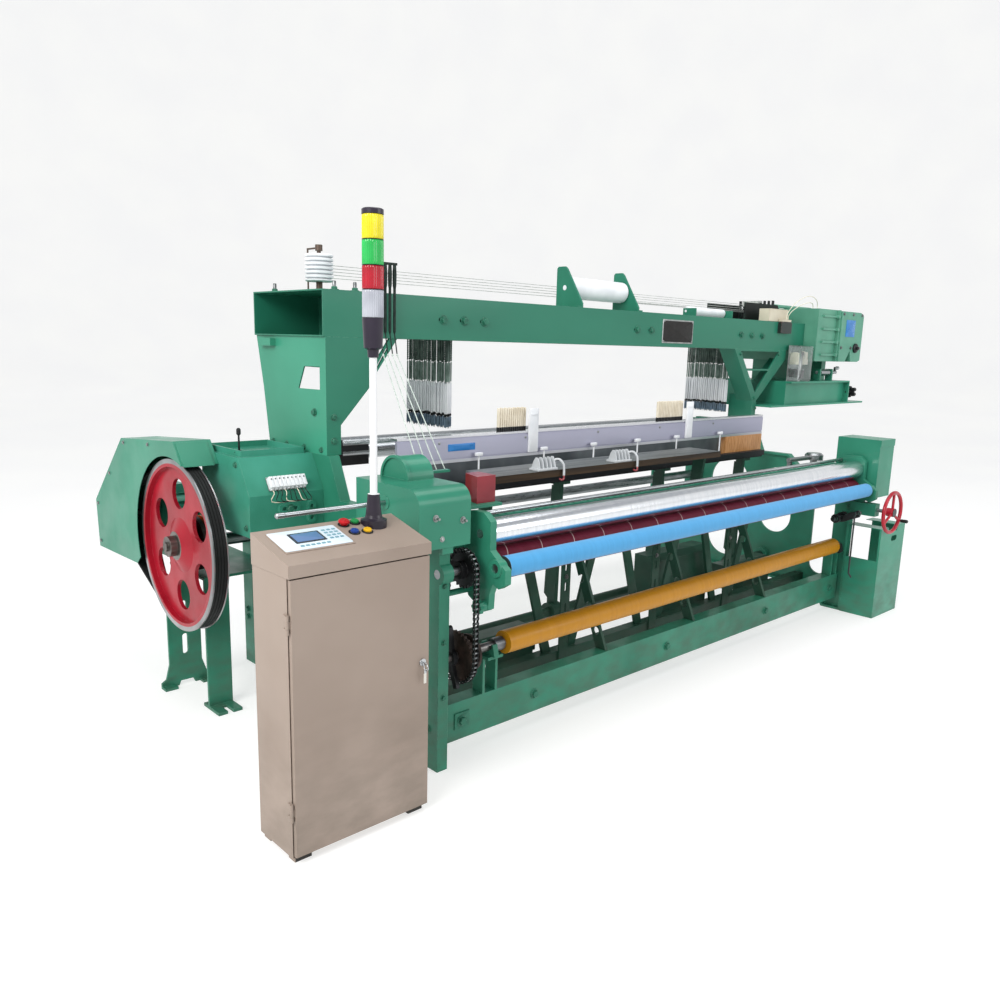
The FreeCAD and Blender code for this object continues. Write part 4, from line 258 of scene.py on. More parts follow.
class Finish:
    """Material with noise-varied colour, roughness and grain, and position zones with their own finish."""

    def __init__(self, name):
        self.material = bpy.data.materials.new(name)
        self.material.use_nodes = True
        self.tree = self.material.node_tree
        self.skin = self.tree.nodes["Principled BSDF"]
        self.place = self.node("TexCoord").outputs["Object"]

    def node(self, kind, links=(), **settings):
        made = self.tree.nodes.new("ShaderNode" + kind)
        for key, value in settings.items():
            setattr(made, key, value)
        for socket, value in dict(links).items():
            if isinstance(value, bpy.types.NodeSocket):
                self.tree.links.new(value, made.inputs[socket])
            else:
                made.inputs[socket].default_value = value
        return made

    def math(self, kind, a, b=0.0):
        return self.node("Math", {0: a, 1: b}, operation=kind).outputs[0]

    def blend(self, how_much, a, b):
        """Socket that runs from a to b, which are numbers or colours."""
        number = isinstance(b, (int, float)) or (isinstance(b, bpy.types.NodeSocket) and b.type == "VALUE")
        kind = "FLOAT" if number else "RGBA"
        first = {"RGBA": (6, 7, 2), "FLOAT": (2, 3, 0)}[kind]
        return self.node("Mix", {0: how_much, first[0]: a, first[1]: b}, data_type=kind).outputs[first[2]]

    def noise(self, scale, stretch=(1, 1, 1), detail=3.0, low=0.35, high=0.65, at=(0, 0, 0)):
        """Noise field in the object's own space, spread so that low to high becomes nought to one."""
        place = self.node("Mapping", {"Vector": self.place, "Location": at, "Scale": stretch}).outputs[0]
        field = self.node("TexNoise", {"Vector": place, "Scale": scale, "Detail": detail}).outputs[0]
        return self.node("MapRange", {0: field, 1: low, 2: high}).outputs[0]

    def axes(self, centre=(0, 0, 0)):
        """X, Y and Z measured from a loom place."""
        offset = [-(HOME[k] + centre[k]) for k in range(3)]
        place = self.node("Mapping", {"Vector": self.place, "Location": offset}).outputs[0]
        return self.node("SeparateXYZ", {0: place}).outputs

    def inside(self, **limits):
        """One inside the loom places given as x=(low, high) and so on, nought outside."""
        axes, mask = self.axes(), None
        for key, (low, high) in limits.items():
            value = axes["xyz".index(key)]
            for kind, limit in (("GREATER_THAN", low), ("LESS_THAN", high)):
                if limit is not None:
                    step = self.math(kind, value, limit)
                    mask = step if mask is None else self.math("MULTIPLY", mask, step)
        return mask

    def within(self, axis, centre, low, high):
        """One between two radii about an axis through a loom place."""
        axes = self.axes(centre)
        a, b = [axes[k] for k in range(3) if "XYZ"[k] != axis]
        radius = self.math("SQRT", self.math("ADD", self.math("MULTIPLY", a, a), self.math("MULTIPLY", b, b)))
        return self.math("MULTIPLY", self.math("GREATER_THAN", radius, low),
                         self.math("LESS_THAN", radius, high))


def finish(name, colours, rough=(0.35, 0.5), metal=0.0, scale=4.0, stretch=(1, 1, 1), grain=(300, 0.0001),
           grain_stretch=(1, 1, 1), edge=0.0, wear=None, dust=0.0, coat=0.0, zones=(), lines=None, glow=0.0,
           clear=0.0, sheen=0.0, ior=None):
    """Colour runs between two shades with a noise; zones are (mask arguments, shade, metal, rough)."""
    f = Finish(name)
    drift = f.noise(scale, stretch)
    colour = f.blend(drift, shade(colours[0]), shade(colours[1]))
    roughness = f.blend(f.noise(scale * 2.7, stretch, at=(3, 1, 2)), rough[0], rough[1])
    metallic = metal
    for how, tint, zone_metal, zone_rough in zones:
        mask = f.within(*how) if isinstance(how, tuple) else f.inside(**how)
        tone = f.blend(drift, shade(tint[0]), shade(tint[1]))
        colour = f.blend(mask, colour, tone)
        roughness = f.blend(mask, roughness, zone_rough)
        if isinstance(metallic, bpy.types.NodeSocket) or metallic != zone_metal:
            metallic = f.blend(mask, metallic, zone_metal)
    if lines:
        colour = f.blend(lines(f), colour, shade("c9b3ad"))
    if dust:
        height = f.axes()[2]
        low = f.node("MapRange", {0: height, 1: 0.0, 2: 0.55, 3: dust, 4: 0.0}).outputs[0]
        grime = f.math("MULTIPLY", low, f.noise(9.0, (1, 1, 2), 5.0))
        colour = f.blend(grime, colour, shade("4a4a40"))
        roughness = f.blend(grime, roughness, 0.75)
    normal = None
    if edge:
        soft = f.node("Bevel", {"Radius": edge}, samples=4)
        normal = soft.outputs[0]
        if wear:
            flat = f.node("NewGeometry").outputs["Normal"]
            facing = f.node("VectorMath", {0: normal, 1: flat}, operation="DOT_PRODUCT").outputs["Value"]
            rim = f.node("MapRange", {0: facing, 1: 0.985, 2: 0.86}).outputs[0]
            chips = f.math("MULTIPLY", rim, f.noise(55.0, (1, 1, 1), 4.0, 0.42, 0.62))
            colour = f.blend(chips, colour, shade(wear))
    grain_place = f.node("Mapping", {"Vector": f.place, "Scale": grain_stretch}).outputs[0]
    height = f.node("TexNoise", {"Vector": grain_place, "Scale": grain[0], "Detail": 2.0}).outputs[0]
    links = {"Height": height, "Strength": 0.6, "Distance": grain[1]}
    if normal:
        links["Normal"] = normal
    bump = f.node("Bump", links).outputs[0]
    for socket, value in (("Base Color", colour), ("Roughness", roughness), ("Metallic", metallic),
                          ("Normal", bump)):
        if isinstance(value, bpy.types.NodeSocket):
            f.tree.links.new(value, f.skin.inputs[socket])
        else:
            f.skin.inputs[socket].default_value = value
    settings = {"Coat Weight": coat, "Coat Roughness": 0.12, "Specular IOR Level": 0.25}
    if glow:
        f.tree.links.new(colour, f.skin.inputs["Emission Color"])
        settings["Emission Strength"] = glow
    for socket, value in (("Transmission Weight", clear), ("Sheen Weight", sheen), ("IOR", ior)):
        if value:
            settings[socket] = value
    for socket, value in settings.items():
        f.skin.inputs[socket].default_value = value
    return f.material


LINE_PITCH, LINE_SHARE = 0.19, 0.018  # the roller's wound line: advance in a turn, and its part of a turn


def spiral_lines(f):
    """Thin pale helix round the roller: where x / pitch + angle / one turn is near a whole number."""
    low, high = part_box("take_up_roller")
    centre = ((low.y + high.y) / 2 - HOME[1], (low.z + high.z) / 2)
    axes = f.axes((0, centre[0], centre[1]))
    turn = f.math("DIVIDE", f.math("ARCTAN2", axes[2], axes[1]), 2 * math.pi)
    phase = f.math("FRACT", f.math("ADD", f.math("DIVIDE", axes[0], LINE_PITCH), turn))
    return f.math("LESS_THAN", phase, LINE_SHARE)


CAST, SHEET, BEAM = ("2f7f66", "256e57"), ("358a70", "2b7a62"), ("297a61", "226c56")
# bare journals at the ends of a covered roller, and of the painted one
END_STEEL = (("8f9294", "747779"), 1.0, 0.34)
OLD_STEEL = (("8a8784", "6e6b69"), 1.0, 0.4)
# zone: the let-off linkage
cast_green = finish("cast_green_enamel", CAST, (0.34, 0.52), scale=3.2, grain=(170, 0.0006), edge=0.0025,
                    wear="5d9c86", dust=0.5, coat=0.12,
                    zones=((dict(x=(3.005, 3.279), y=(-0.215, -0.03), z=(0.28, 0.72)),
                            ("45494b", "2c2f30"), 0.8, 0.42),))
# inner frame and swords: green darkened as painted shade for the frame's shaded interior; zone: the rear
# girt, which keeps the plain cast green
shaded_inner_green = finish("inner_green_painted_shade", ("1f4c3b", "183b2e"), (0.4, 0.58), scale=3.6,
                     grain=(170, 0.0006), edge=0.002, wear="3b6a59", dust=0.5, coat=0.1,
                     zones=((dict(y=(1.2, None)), CAST, 0.0, 0.45),))
sheet_green = finish("sheet_green_enamel", SHEET, (0.3, 0.46), scale=2.2, grain=(420, 0.00012),
                     edge=0.0022, wear="63a08b", dust=0.45, coat=0.2)
# zone: the outer sheet of the left column
beam_green = finish("beam_green_enamel", BEAM, (0.32, 0.48), scale=1.8, stretch=(0.35, 1, 1),
                    grain=(260, 0.0002), edge=0.0025, wear="5d9c86", coat=0.15,
                    zones=((dict(x=(None, 0.0002), z=(None, 1.63)), ("3c9277", "33856b"), 0.0, 0.42),))
# zones: the jack bearings and the spool post
fitting_green = finish("fitting_green_enamel", BEAM, (0.32, 0.48), scale=3.0,
                       grain=(220, 0.0003), edge=0.0015, wear="5d9c86",
                       zones=((dict(x=(3.3, 3.9), z=(1.8, None)), ("1d211f", "141716"), 0.0, 0.5),
                              (dict(x=(0.14, 0.29), y=(0.95, 1.2), z=(1.825, None)), ("6f5f55", "4d423b"),
                               0.5, 0.45)))
dobby_green = finish("dobby_hammered_enamel", ("5c9a82", "4c8973"), (0.36, 0.5), scale=4.0,
                     grain=(120, 0.0007), edge=0.003, wear="6d9187", coat=0.15)
housing_green = finish("housing_dark_enamel", ("3f917c", "318069"), (0.34, 0.5), scale=4.0,
                       grain=(150, 0.0006), edge=0.003, wear="5d9383", coat=0.15)
# zones: the relay box, signal box, switch box and feeler
maroon_enamel = finish("maroon_hammered_enamel", ("8f2630", "7a1d28"), (0.3, 0.44), scale=6.0,
                       grain=(240, 0.0004), edge=0.002, wear="b06a6c", coat=0.3,
                       zones=((dict(x=(3.3, 3.8), z=(1.822, None)), ("cfc8b4", "beb6a2"), 0.0, 0.5),
                              (dict(x=(3.5, 3.75), z=(1.72, 1.822)), ("26302d", "1c2422"), 0.0, 0.45),
                              (dict(x=(3.34, 3.45), z=(1.1, 1.3)), ("2a2c2c", "202222"), 0.0, 0.45),
                              (dict(x=(3.0, 3.4), z=(0.86, 1.05)), ("9fa2a4", "878b8d"), 1.0, 0.35)))
# zones: the feet and the cable glands
taupe_coat = finish("taupe_powder_coat", ("9b8c81", "8f8075"), (0.42, 0.52), scale=2.0,
                    grain=(520, 0.00022), edge=0.002, wear="b7a294", dust=0.25,
                    zones=((dict(x=(-0.70, -0.20), y=(-0.21, 0.0), z=(None, 0.02)), ("2c2c2c", "232323"),
                            0.0, 0.6),
                           (dict(y=(0.0002, 0.03), z=(0.4, 0.52)), ("1f1f20", "161617"), 0.0, 0.45)))
# zones: the lock and its key
door_coat = finish("taupe_door_coat", ("998a7f", "8d7e73"), (0.42, 0.52), scale=2.0, grain=(520, 0.00022),
                   edge=0.002, wear="b7a294", dust=0.3,
                   zones=((dict(x=(-0.236, -0.20), y=(None, -0.2268), z=(0.525, 0.6)), ("c5c7c9", "aeb1b4"),
                           1.0, 0.25),
                          (dict(x=(-0.24, -0.20), y=(None, -0.2268), z=(0.48, 0.5251)),
                           ("d8d6cf", "c9c6bd"), 0.0, 0.4)))
# zones: the rim and the hub
wheel_red = finish("wheel_red_enamel", ("a01126", "8a0d1e"), (0.3, 0.44), scale=5.0, grain=(260, 0.0003),
                   edge=0.002, wear="c95560", coat=0.15,
                   zones=((("X", WHEEL_AXLE, 0.352, 0.4), ("a9abac", "7d8082"), 1.0, 0.3),
                          (("X", WHEEL_AXLE, 0.0, 0.062), ("8a8681", "67645f"), 1.0, 0.38)))
# zones: the shaft and the grip
hand_red = finish("handwheel_red_enamel", ("b2182c", "981023"), (0.3, 0.42), scale=9.0, grain=(320, 0.0002),
                  edge=0.0015, wear="ca5b66", coat=0.35,
                  zones=((dict(y=(-0.262, None)), ("8d9092", "74787a"), 1.0, 0.35),
                         (dict(y=(None, -0.303)), ("18191a", "101112"), 0.0, 0.4)))
# zones: the clutch disc, its driven collar and the lock nut
shaft_steel = finish("shaft_steel", ("8f9496", "6f7476"), (0.26, 0.42), metal=1.0, scale=8.0,
                     stretch=(1, 6, 6), grain=(500, 0.00008), edge=0.0012,
                     zones=((dict(x=(-0.42, -0.385)), ("3a3735", "2b2927"), 0.4, 0.5),
                            (dict(x=(-0.385, -0.358)), ("c4541c", "a84414"), 0.0, 0.45),
                            (dict(x=(-0.532, -0.49)), ("7d7874", "5c5854"), 0.9, 0.4)))
ground_steel = finish("ground_steel", ("b4b8ba", "9a9ea1"), (0.2, 0.36), metal=1.0, scale=9.0,
                      stretch=(0.4, 8, 8), grain=(700, 0.00006), edge=0.0008)
bolt_steel = finish("bolt_steel", ("8c8f90", "66696a"), (0.3, 0.5), metal=1.0, scale=30.0,
                    grain=(900, 0.00008))
painted_bolt = finish("painted_bolt_green", ("2c715a", "225c49"), (0.36, 0.5), scale=30.0,
                      grain=(900, 0.0001), edge=0.0012, wear="8fa79d")
dark_steel = finish("oiled_dark_steel", ("3a3b3d", "242526"), (0.32, 0.52), metal=0.85, scale=14.0,
                    grain=(420, 0.0002), edge=0.0008, wear="7d7f80")
brushed_roller = finish("brushed_roller_steel", ("e8eaed", "dfe2e6"), (0.19, 0.23), metal=1.0, scale=3.0,
                        stretch=(30, 0.6, 0.6), grain=(90, 0.00004), grain_stretch=(8, 0.4, 0.4))
blue_cover = finish("blue_roller_covering", ("4597cb", "4293c6"), (0.62, 0.72), scale=3.0,
                    stretch=(26, 0.5, 0.5), grain=(500, 0.0004), sheen=0.2,
                    zones=((dict(x=(None, 0.2355)), *END_STEEL), (dict(x=(3.2795, None)), *END_STEEL)))
maroon_cover = finish("maroon_roller_covering", ("6b1b2f", "621829"), (0.5, 0.66), scale=3.0,
                      stretch=(26, 0.5, 0.5), grain=(500, 0.0004),
                      zones=((dict(x=(None, 0.2325)), *END_STEEL), (dict(x=(3.3015, None)), *END_STEEL)),
                      lines=spiral_lines)
yellow_enamel = finish("yellow_roller_enamel", ("b67d0e", "af770d"), (0.36, 0.5), scale=3.0,
                       stretch=(18, 0.5, 0.5), grain=(300, 0.0003), coat=0.1,
                       zones=((dict(x=(None, 0.369)), *OLD_STEEL), (dict(x=(3.2005, None)), *OLD_STEEL)))
# zones: its top edge and its foot
cap_alloy = finish("cap_alloy", ("b3b3c5", "a2a2b6"), (0.3, 0.42), metal=0.55, scale=3.0,
                   stretch=(0.15, 2, 2), grain=(600, 0.00006), edge=0.001,
                   zones=((dict(z=(1.2062, None)), ("dcdde2", "c8c9ce"), 0.9, 0.25),
                          (dict(z=(None, 1.109)), ("cfd0d6", "b9bac0"), 0.9, 0.28)))
# zone: the front face
race_finish = finish("race_board_finish", ("4c5258", "3b4046"), (0.35, 0.5), metal=0.2, scale=5.0,
                     stretch=(0.2, 2, 2), grain=(420, 0.0001), edge=0.001,
                     zones=((dict(y=(None, 0.5002)), ("17191b", "202326"), 0.2, 0.35),))
# zones: the side rail, temple bar, its edge strip and the column block
bar_finish = finish("front_bar_finish", ("c2c6c8", "a7abad"), (0.18, 0.32), metal=1.0, scale=7.0,
                    stretch=(0.3, 6, 6), grain=(500, 0.0001), edge=0.0008,
                    zones=((dict(y=(0.07, 0.13), z=(None, 0.95)), SHEET, 0.0, 0.45),
                           (dict(y=(0.1502, 0.4), z=(1.0, None)), ("8f9292", "6e7273"), 0.7, 0.42),
                           (dict(y=(None, 0.1503), z=(1.05, None)), ("40301f", "261d15"), 0.5, 0.42),
                           (dict(x=(None, 0.22), y=(0.7, None)), ("2b2d2e", "1e2021"), 0.5, 0.45)))
wood = finish("varnished_block_wood", ("c99563", "a8743f"), (0.36, 0.52), scale=26.0, stretch=(6, 6, 0.6),
              grain=(160, 0.0003), grain_stretch=(4, 4, 0.4), edge=0.0012, coat=0.25)
nylon = finish("white_nylon", ("e9ebee", "d9dce0"), (0.34, 0.48), scale=9.0, grain=(500, 0.00015),
               edge=0.0015)
cord_finish = finish("pale_cord", ("c9ccc8", "a9ada9"), (0.6, 0.75), scale=60.0,
                     grain=(1200, 0.0003))
black_plastic = finish("black_plastic", ("1b1c1e", "141517"), (0.3, 0.45), scale=12.0, grain=(600, 0.0001))
rubber = finish("black_rubber", ("1d1e1f", "151616"), (0.55, 0.7), scale=10.0, grain=(380, 0.0003))
# zone: the signal cables at the dobby
cable_finish = finish("cable_sheath", ("1c1d1e", "141515"), (0.4, 0.55), scale=14.0, grain=(600, 0.0001),
                      zones=((dict(x=(3.0, None)), ("e3e0cd", "d3cfba"), 0.0, 0.5),))
# zones: the foot, and the socket and cap
lamp_finish = finish("lamp_pole_enamel", ("e8e9ea", "dcdddf"), (0.22, 0.34), scale=5.0,
                     grain=(420, 0.00008), coat=0.3,
                     zones=((dict(z=(None, 1.1199)), ("2a2230", "1f1925"), 0.0, 0.35),
                            (dict(z=(1.5659, None)), ("2b2433", "201a28"), 0.0, 0.3)))
# zone: the springs
selector_finish = finish("selector_cord_finish", ("c6cfc9", "a8b3ac"), (0.55, 0.7), scale=50.0,
                         grain=(900, 0.0002),
                         zones=((dict(z=(1.566, None)), ("22302b", "161f1c"), 0.4, 0.45),))
reed_wire = finish("reed_wire", ("6f7478", "4d5256"), (0.3, 0.45), metal=0.9, scale=4.0, grain=(900, 0.0002))
# zone: the square coupling
iron_disc = finish("rusty_iron_disc", ("463933", "2b2522"), (0.5, 0.7), metal=0.5, scale=22.0,
                   grain=(260, 0.0005), edge=0.001, wear="8e7c72",
                   zones=((dict(x=(0.3, 0.4)), ("7d7f80", "626465"), 1.0, 0.4),))
zinc = finish("zinc_plate", ("a7aaa9", "8c908f"), (0.32, 0.46), metal=0.9, scale=40.0, grain=(600, 0.00012),
              edge=0.0008)
white_sheet = finish("white_keypad_sheet", ("d7e2ea", "cbd8e2"), (0.3, 0.4), scale=8.0, grain=(700, 0.00006))
display = finish("display_glass", ("5f7da6", "4f6d97"), (0.12, 0.2), scale=3.0, grain=(300, 0.00002),
                 coat=0.3, glow=0.05)
display_rim = finish("display_rim", ("3a4147", "2b3136"), (0.25, 0.35), scale=12.0, grain=(600, 0.00006))
key_grey = finish("key_grey_rubber", ("7aa3ad", "6690a0"), (0.5, 0.62), scale=40.0, grain=(900, 0.0001))
blue_plate = finish("blue_plate", ("2f7fc4", "2670b3"), (0.25, 0.36), scale=12.0, grain=(700, 0.00005),
                    coat=0.3)
black_plate = finish("black_beam_plate", ("100e0d", "171412"), (0.42, 0.52), scale=14.0,
                     grain=(700, 0.00005), coat=0.05)
spring_dark = finish("dark_spring_wire", ("5d6d66", "3c4a44"), (0.4, 0.55), metal=0.4, scale=30.0,
                     grain=(900, 0.0001))
sleeve_grey = finish("grey_green_sleeve", ("7b8f86", "5c6f67"), (0.4, 0.55), scale=30.0, grain=(900, 0.0001))
weight_blue = finish("blue_grey_weight", ("6c8093", "52636f"), (0.4, 0.55), scale=30.0, grain=(900, 0.0001))
grey_nylon = finish("grey_guide_nylon", ("c3c6c9", "afb3b6"), (0.36, 0.5), scale=9.0, grain=(500, 0.00015))
cream = finish("cream_comb_plastic", ("e6ddcb", "d8cdb8"), (0.4, 0.55), scale=18.0, grain=(500, 0.00012),
               edge=0.0008)
clear_shell = finish("clear_box_shell", ("f2f6f6", "e6ecec"), (0.04, 0.1), scale=6.0, grain=(300, 0.00002),
                     clear=0.92, ior=1.2)
caps = {name: finish(name + "_cap", tints, (0.24, 0.34), scale=20.0, grain=(600, 0.00005), coat=0.4)
        for name, tints in (("red", ("c3161f", "a81018")), ("green", ("1f8f4a", "177a3d")),
                            ("blue", ("1d3f8f", "163478")), ("yellow", ("d9a91a", "c49512")))}

NODE_FINISH = {
    cast_green: "left_side_frame right_side_frame front_rail roller_end_brackets guard_legs",
    # the inner frame and swords take the darkened green, a painted shade of the interior
    shaded_inner_green: "inner_frame sley_swords",
    sheet_green: "left_front_cover right_side_boxes belt_guard dobby_table",
    beam_green: "top_beam left_column right_column",
    fitting_green: "beam_fittings",
    dobby_green: "dobby_body dobby_cover",
    housing_green: "gear_housing motor",
    maroon_enamel: "instrument_boxes",
    taupe_coat: "cabinet",
    door_coat: "cabinet_door",
    wheel_red: "flywheel",
    hand_red: "handwheel",
    shaft_steel: "main_shaft",
    ground_steel: "start_rod back_rest dobby_cylinder",
    painted_bolt: "frame_bolts",
    black_plastic: "table_knob",
    dark_steel: "drive_sprocket motor_pulley gear_lever dobby_jacks ratchet_lever drive_chain",
    brushed_roller: "breast_roller",
    blue_cover: "press_roller",
    maroon_cover: "take_up_roller",
    yellow_enamel: "cloth_roller",
    cap_alloy: "reed_cap",
    race_finish: "sley_beam",
    bar_finish: "front_bars",
    wood: "end_blocks",
    nylon: "pulley_spool upper_guide_roller right_guide_roller",
    cord_finish: "harness_lines harness_cords",
    rubber: "drive_belts",
    cable_finish: "control_cables",
    lamp_finish: "lamp_post lamp_lenses",
    selector_finish: "selector_cords",
    reed_wire: "reed",
    iron_disc: "friction_discs",
    caps["red"]: "red_button",
    caps["green"]: "green_button",
    caps["blue"]: "blue_button",
    caps["yellow"]: "yellow_button"}
for material, names in NODE_FINISH.items():
    for name in names.split():
        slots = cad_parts[name].data.materials
        if not slots:
            slots.append(material)
        for k in range(len(slots)):
            slots[k] = material


# ---- fastenings --------------------------------------------------------------------------
def hex_head(size):
    """Washer and domed hexagon head standing on z = 0: six-sided rings drawn in towards the top."""
    six = np.arange(6) * math.pi / 3
    twelve = np.arange(12) * math.pi / 6
    washer = [(0, 1.35), (0.16, 1.35), (0.2, 1.3)]
    head = [(0.2, 1.0), (0.78, 1.0), (0.92, 0.84)]
    flat = [plan("Z", size * r * np.cos(twelve), size * r * np.sin(twelve), size * z) for z, r in washer]
    nut = [plan("Z", size * r * np.cos(six), size * r * np.sin(six), size * z) for z, r in head]
    return join(loft(flat), loft(nut))


# what turns a head from facing up to facing each way
TURNS = {"-Y": [[1, 0, 0], [0, 0, -1], [0, 1, 0]], "-X": [[0, 0, -1], [0, 1, 0], [1, 0, 0]],
         "+X": [[0, 0, 1], [0, 1, 0], [-1, 0, 0]], "+Z": np.eye(3)}


def bolts(facing, places, size=0.011):
    """Bolt heads standing on a face, at the places given."""
    return set_out(hex_head(size), [TURNS[facing]] * len(places), places)


STUDS = [(0.030, 1.180, 1.820), (0.060, 0.740, 1.820), (0.160, 0.740, 1.820)]
studs = moved(turned([(0.008, 0.0075), (0.034, 0.0075), (0.036, 0.006)], (0, 0, 0), "Z", 12), *STUDS)
SIDE_BOLTS = ((0.02, 0.16), (0.1, 0.2), (1.48, 0.28), (1.48, 0.24), (0.28, 0.156), (0.28, 0.712))
COLUMN_BOLTS = ((3.32, 1.18), (3.348, 1.24), (3.33, 1.31), (3.12, 1.6), (3.6, 1.6))
GUARD_BOLTS = ((0.78, 0.86), (1.15, 0.86), (0.86, 1.11), (1.15, 1.11))
rows = [bolts(facing, [(x, y, z) for y, z in SIDE_BOLTS], 0.013)
        for x, facing in ((0.0, "-X"), (FRAME_WIDTH, "+X"))]
for facing, size, places in (
        ("-Y", 0.009, [(0.026, -0.04, z) for z in (0.3, 0.52, 0.74)]),
        ("-Y", 0.009, [(3.334, -0.04, z) for z in (0.62, 0.72)]),
        ("-Y", 0.011, [(0.035, BEAM_FACE, z) for z in (1.2, 1.3)]),
        ("-Y", 0.010, [(x, BEAM_FACE, z) for x, z in COLUMN_BOLTS]),
        ("-Y", 0.014, [(-0.165, 0.74, 0.93), (-0.062, 0.74, 0.905)]),
        ("-X", 0.013, [(0.0, 0.81, 1.315)]),
        ("+Z", 0.014, STUDS),
        ("-X", 0.010, [(0.0, y, 1.16) for y in (0.76, 0.9, 1.05, 1.17)]),
        ("-X", 0.010, [(-0.34, y, z) for y, z in GUARD_BOLTS]),
        ("-X", 0.012, [(3.31, 0.03, 0.95), (3.31, -0.03, 0.68)])):
    rows.append(bolts(facing, places, size))
RAIL_BOLTS = [(x, 0.0, 0.160) for x in (0.560, 1.500, 2.440, 3.210)]
BEAM_BOLTS = [(x, BEAM_FACE, 1.720) for x in (0.620, 0.745, 0.870, 2.030, 2.160, 3.110, 3.240, 3.370)]
rows.append(bolts("-Y", [(0.150, -0.005, 0.160)] + RAIL_BOLTS + BEAM_BOLTS, 0.0165))
rows.append(block(0.116, 0.192, -0.005, -0.0002, 0.126, 0.194, 0.0015, "Y"))
piece("frame_bolt_heads", [(shell, painted_bolt) for shell in rows] + [(studs, bolt_steel)], "frame")
cover_nuts = [bolts("-Y", [(-0.035, -0.06, 1.005), (0.092, -0.06, 0.985)], 0.010),
              bolts("-Y", [(-0.005, -0.06, 0.925)], 0.008)]
for x, z, rise in ((-0.035, 1.0, 0.005), (0.092, 0.985, 0)):
    stud = turned([(0, 0.005), (0.016, 0.005), (0.018, 0.003)], (x, -0.068, z), "Y", 10)
    cover_nuts.append(moved(stud, (0, -0.014, rise)))
piece("cover_nuts", [(shell, zinc) for shell in cover_nuts], "frame")
GUARD_SCREWS = ((1.35, 1.152), (1.64, 1.132), (1.85, 0.965), (2.04, 0.79), (2.03, 0.6))
dobby_bolts = bolts("-Y", [(x, 0.6 - 0.010, z) for x in (4.25, 4.4, 4.54) for z in (1.9, 1.66)], 0.009)
piece("guard_screws", [(bolts("-X", [(-0.503, y, z) for y, z in GUARD_SCREWS], 0.007), zinc),
                       (dobby_bolts, bolt_steel)], "frame")
post_bolts = bolts("-Y", [(x, 0.242, z) for x in (1.0, 1.7, 2.4) for z in (0.35, 0.55)], 0.009)
piece("post_bolts", [(post_bolts, bolt_steel)], "frame")


# ---- signal lamp -------------------------------------------------------------------------
LAMP = (-0.297, -0.055)
LENS_R = 0.0338
LENS_Z = (1.690, 1.778, 1.852, 1.930, 2.006)
lens_tints = (("lens_clear", ("aeb1ba", "9497a1")), ("lens_red", ("b30f27", "930b1f")),
              ("lens_green", ("28b356", "1c9a45")), ("lens_yellow", ("d2c51c", "c2b512")))
lens_parts = []
for (name, tints), low, high in zip(lens_tints, LENS_Z, LENS_Z[1:]):
    tone = finish(name, tints, (0.12, 0.22), scale=9.0, grain=(300, 0.00005), coat=0.5,
                  glow=0.16 if name != "lens_clear" else 0.05)
    tall = high - low
    fluted = [(0.004 + (tall - 0.008) * k / 10, LENS_R - 0.0004 * (k % 2)) for k in range(1, 10)]
    profile = [(0.0012, 0.0322), (0.004, LENS_R), *fluted, (tall - 0.004, LENS_R), (tall - 0.0012, 0.0322)]
    lens_parts.append((turned(profile, (*LAMP, low), "Z", 120, (0.0007, 30, 0.0325)), tone))
for z in LENS_Z:
    lens_parts.append((turned([(-0.0013, 0.0333), (-0.0009, 0.0346), (0.0009, 0.0346), (0.0013, 0.0333)],
                              (*LAMP, z), "Z", 48), black_plastic))
piece("lamp_lens_drums", lens_parts, "frame", ("lamp_lenses",))

# ---- cabinet keypad ----------------------------------------------------------------------
LID_RISE, LID_DEPTH, LID_FRONT_Z = 0.055, 0.21, 0.977
LID_TILT = math.atan2(LID_RISE, LID_DEPTH)


def on_lid(shell, x, y, lift=0.0):
    """Shell drawn flat, laid on the sloping lid: (u, w, n) goes across, up the slope and square to it."""
    p, q, f = shell
    c, s = math.cos(LID_TILT), math.sin(LID_TILT)
    u, w, n = p[:, 0], p[:, 1], p[:, 2] + lift
    z0 = LID_FRONT_Z + (y + LID_DEPTH) * LID_RISE / LID_DEPTH
    return np.stack([x + u, y + w * c - n * s, z0 + w * s + n * c], -1), q, f


PAD_X, PAD_Y, PAD_LIFT = -0.561, -0.0925, 0.0029
KEY_STEP = 0.0185
sheet = block(-0.119, 0.119, -0.064, 0.064, 0.0, 0.0016, 0.0005, corner=0.006)
rim = block(-0.062, 0.047, -0.026, 0.040, 0.0, 0.0032, 0.0008, corner=0.003)
window = block(-0.054, 0.039, -0.019, 0.033, 0.0, 0.0042, 0.0004, corner=0.002)
pad = [(on_lid(shell, PAD_X, PAD_Y, PAD_LIFT), material)
       for shell, material in ((sheet, white_sheet), (rim, display_rim), (window, display))]
key = block(-0.0065, 0.0065, -0.0045, 0.0045, 0.0, 0.0016, 0.0006, corner=0.002)
keys = moved(key, *[(0.066 + KEY_STEP * i, 0.036 - KEY_STEP * j, 0) for i in range(3) for j in range(4)],
             *[(-0.052 + KEY_STEP * i, -0.044, 0) for i in range(6)])
pad.append((on_lid(keys, PAD_X, PAD_Y, 0.0044), key_grey))
piece("keypad_face", pad, "frame")
bezel = [(0.0, 0.0148), (0.0, 0.0195), (0.0012, 0.0198), (0.0026, 0.0186), (0.0034, 0.0150)]
BUTTONS = ((-0.402, -0.034), (-0.357, -0.030), (-0.398, -0.092), (-0.352, -0.098))
rings = [on_lid(ring_of(bezel, (0, 0, 0), "Z"), x, y) for x, y in BUTTONS]
piece("button_bezels", [(ring, black_plastic) for ring in rings], "frame")


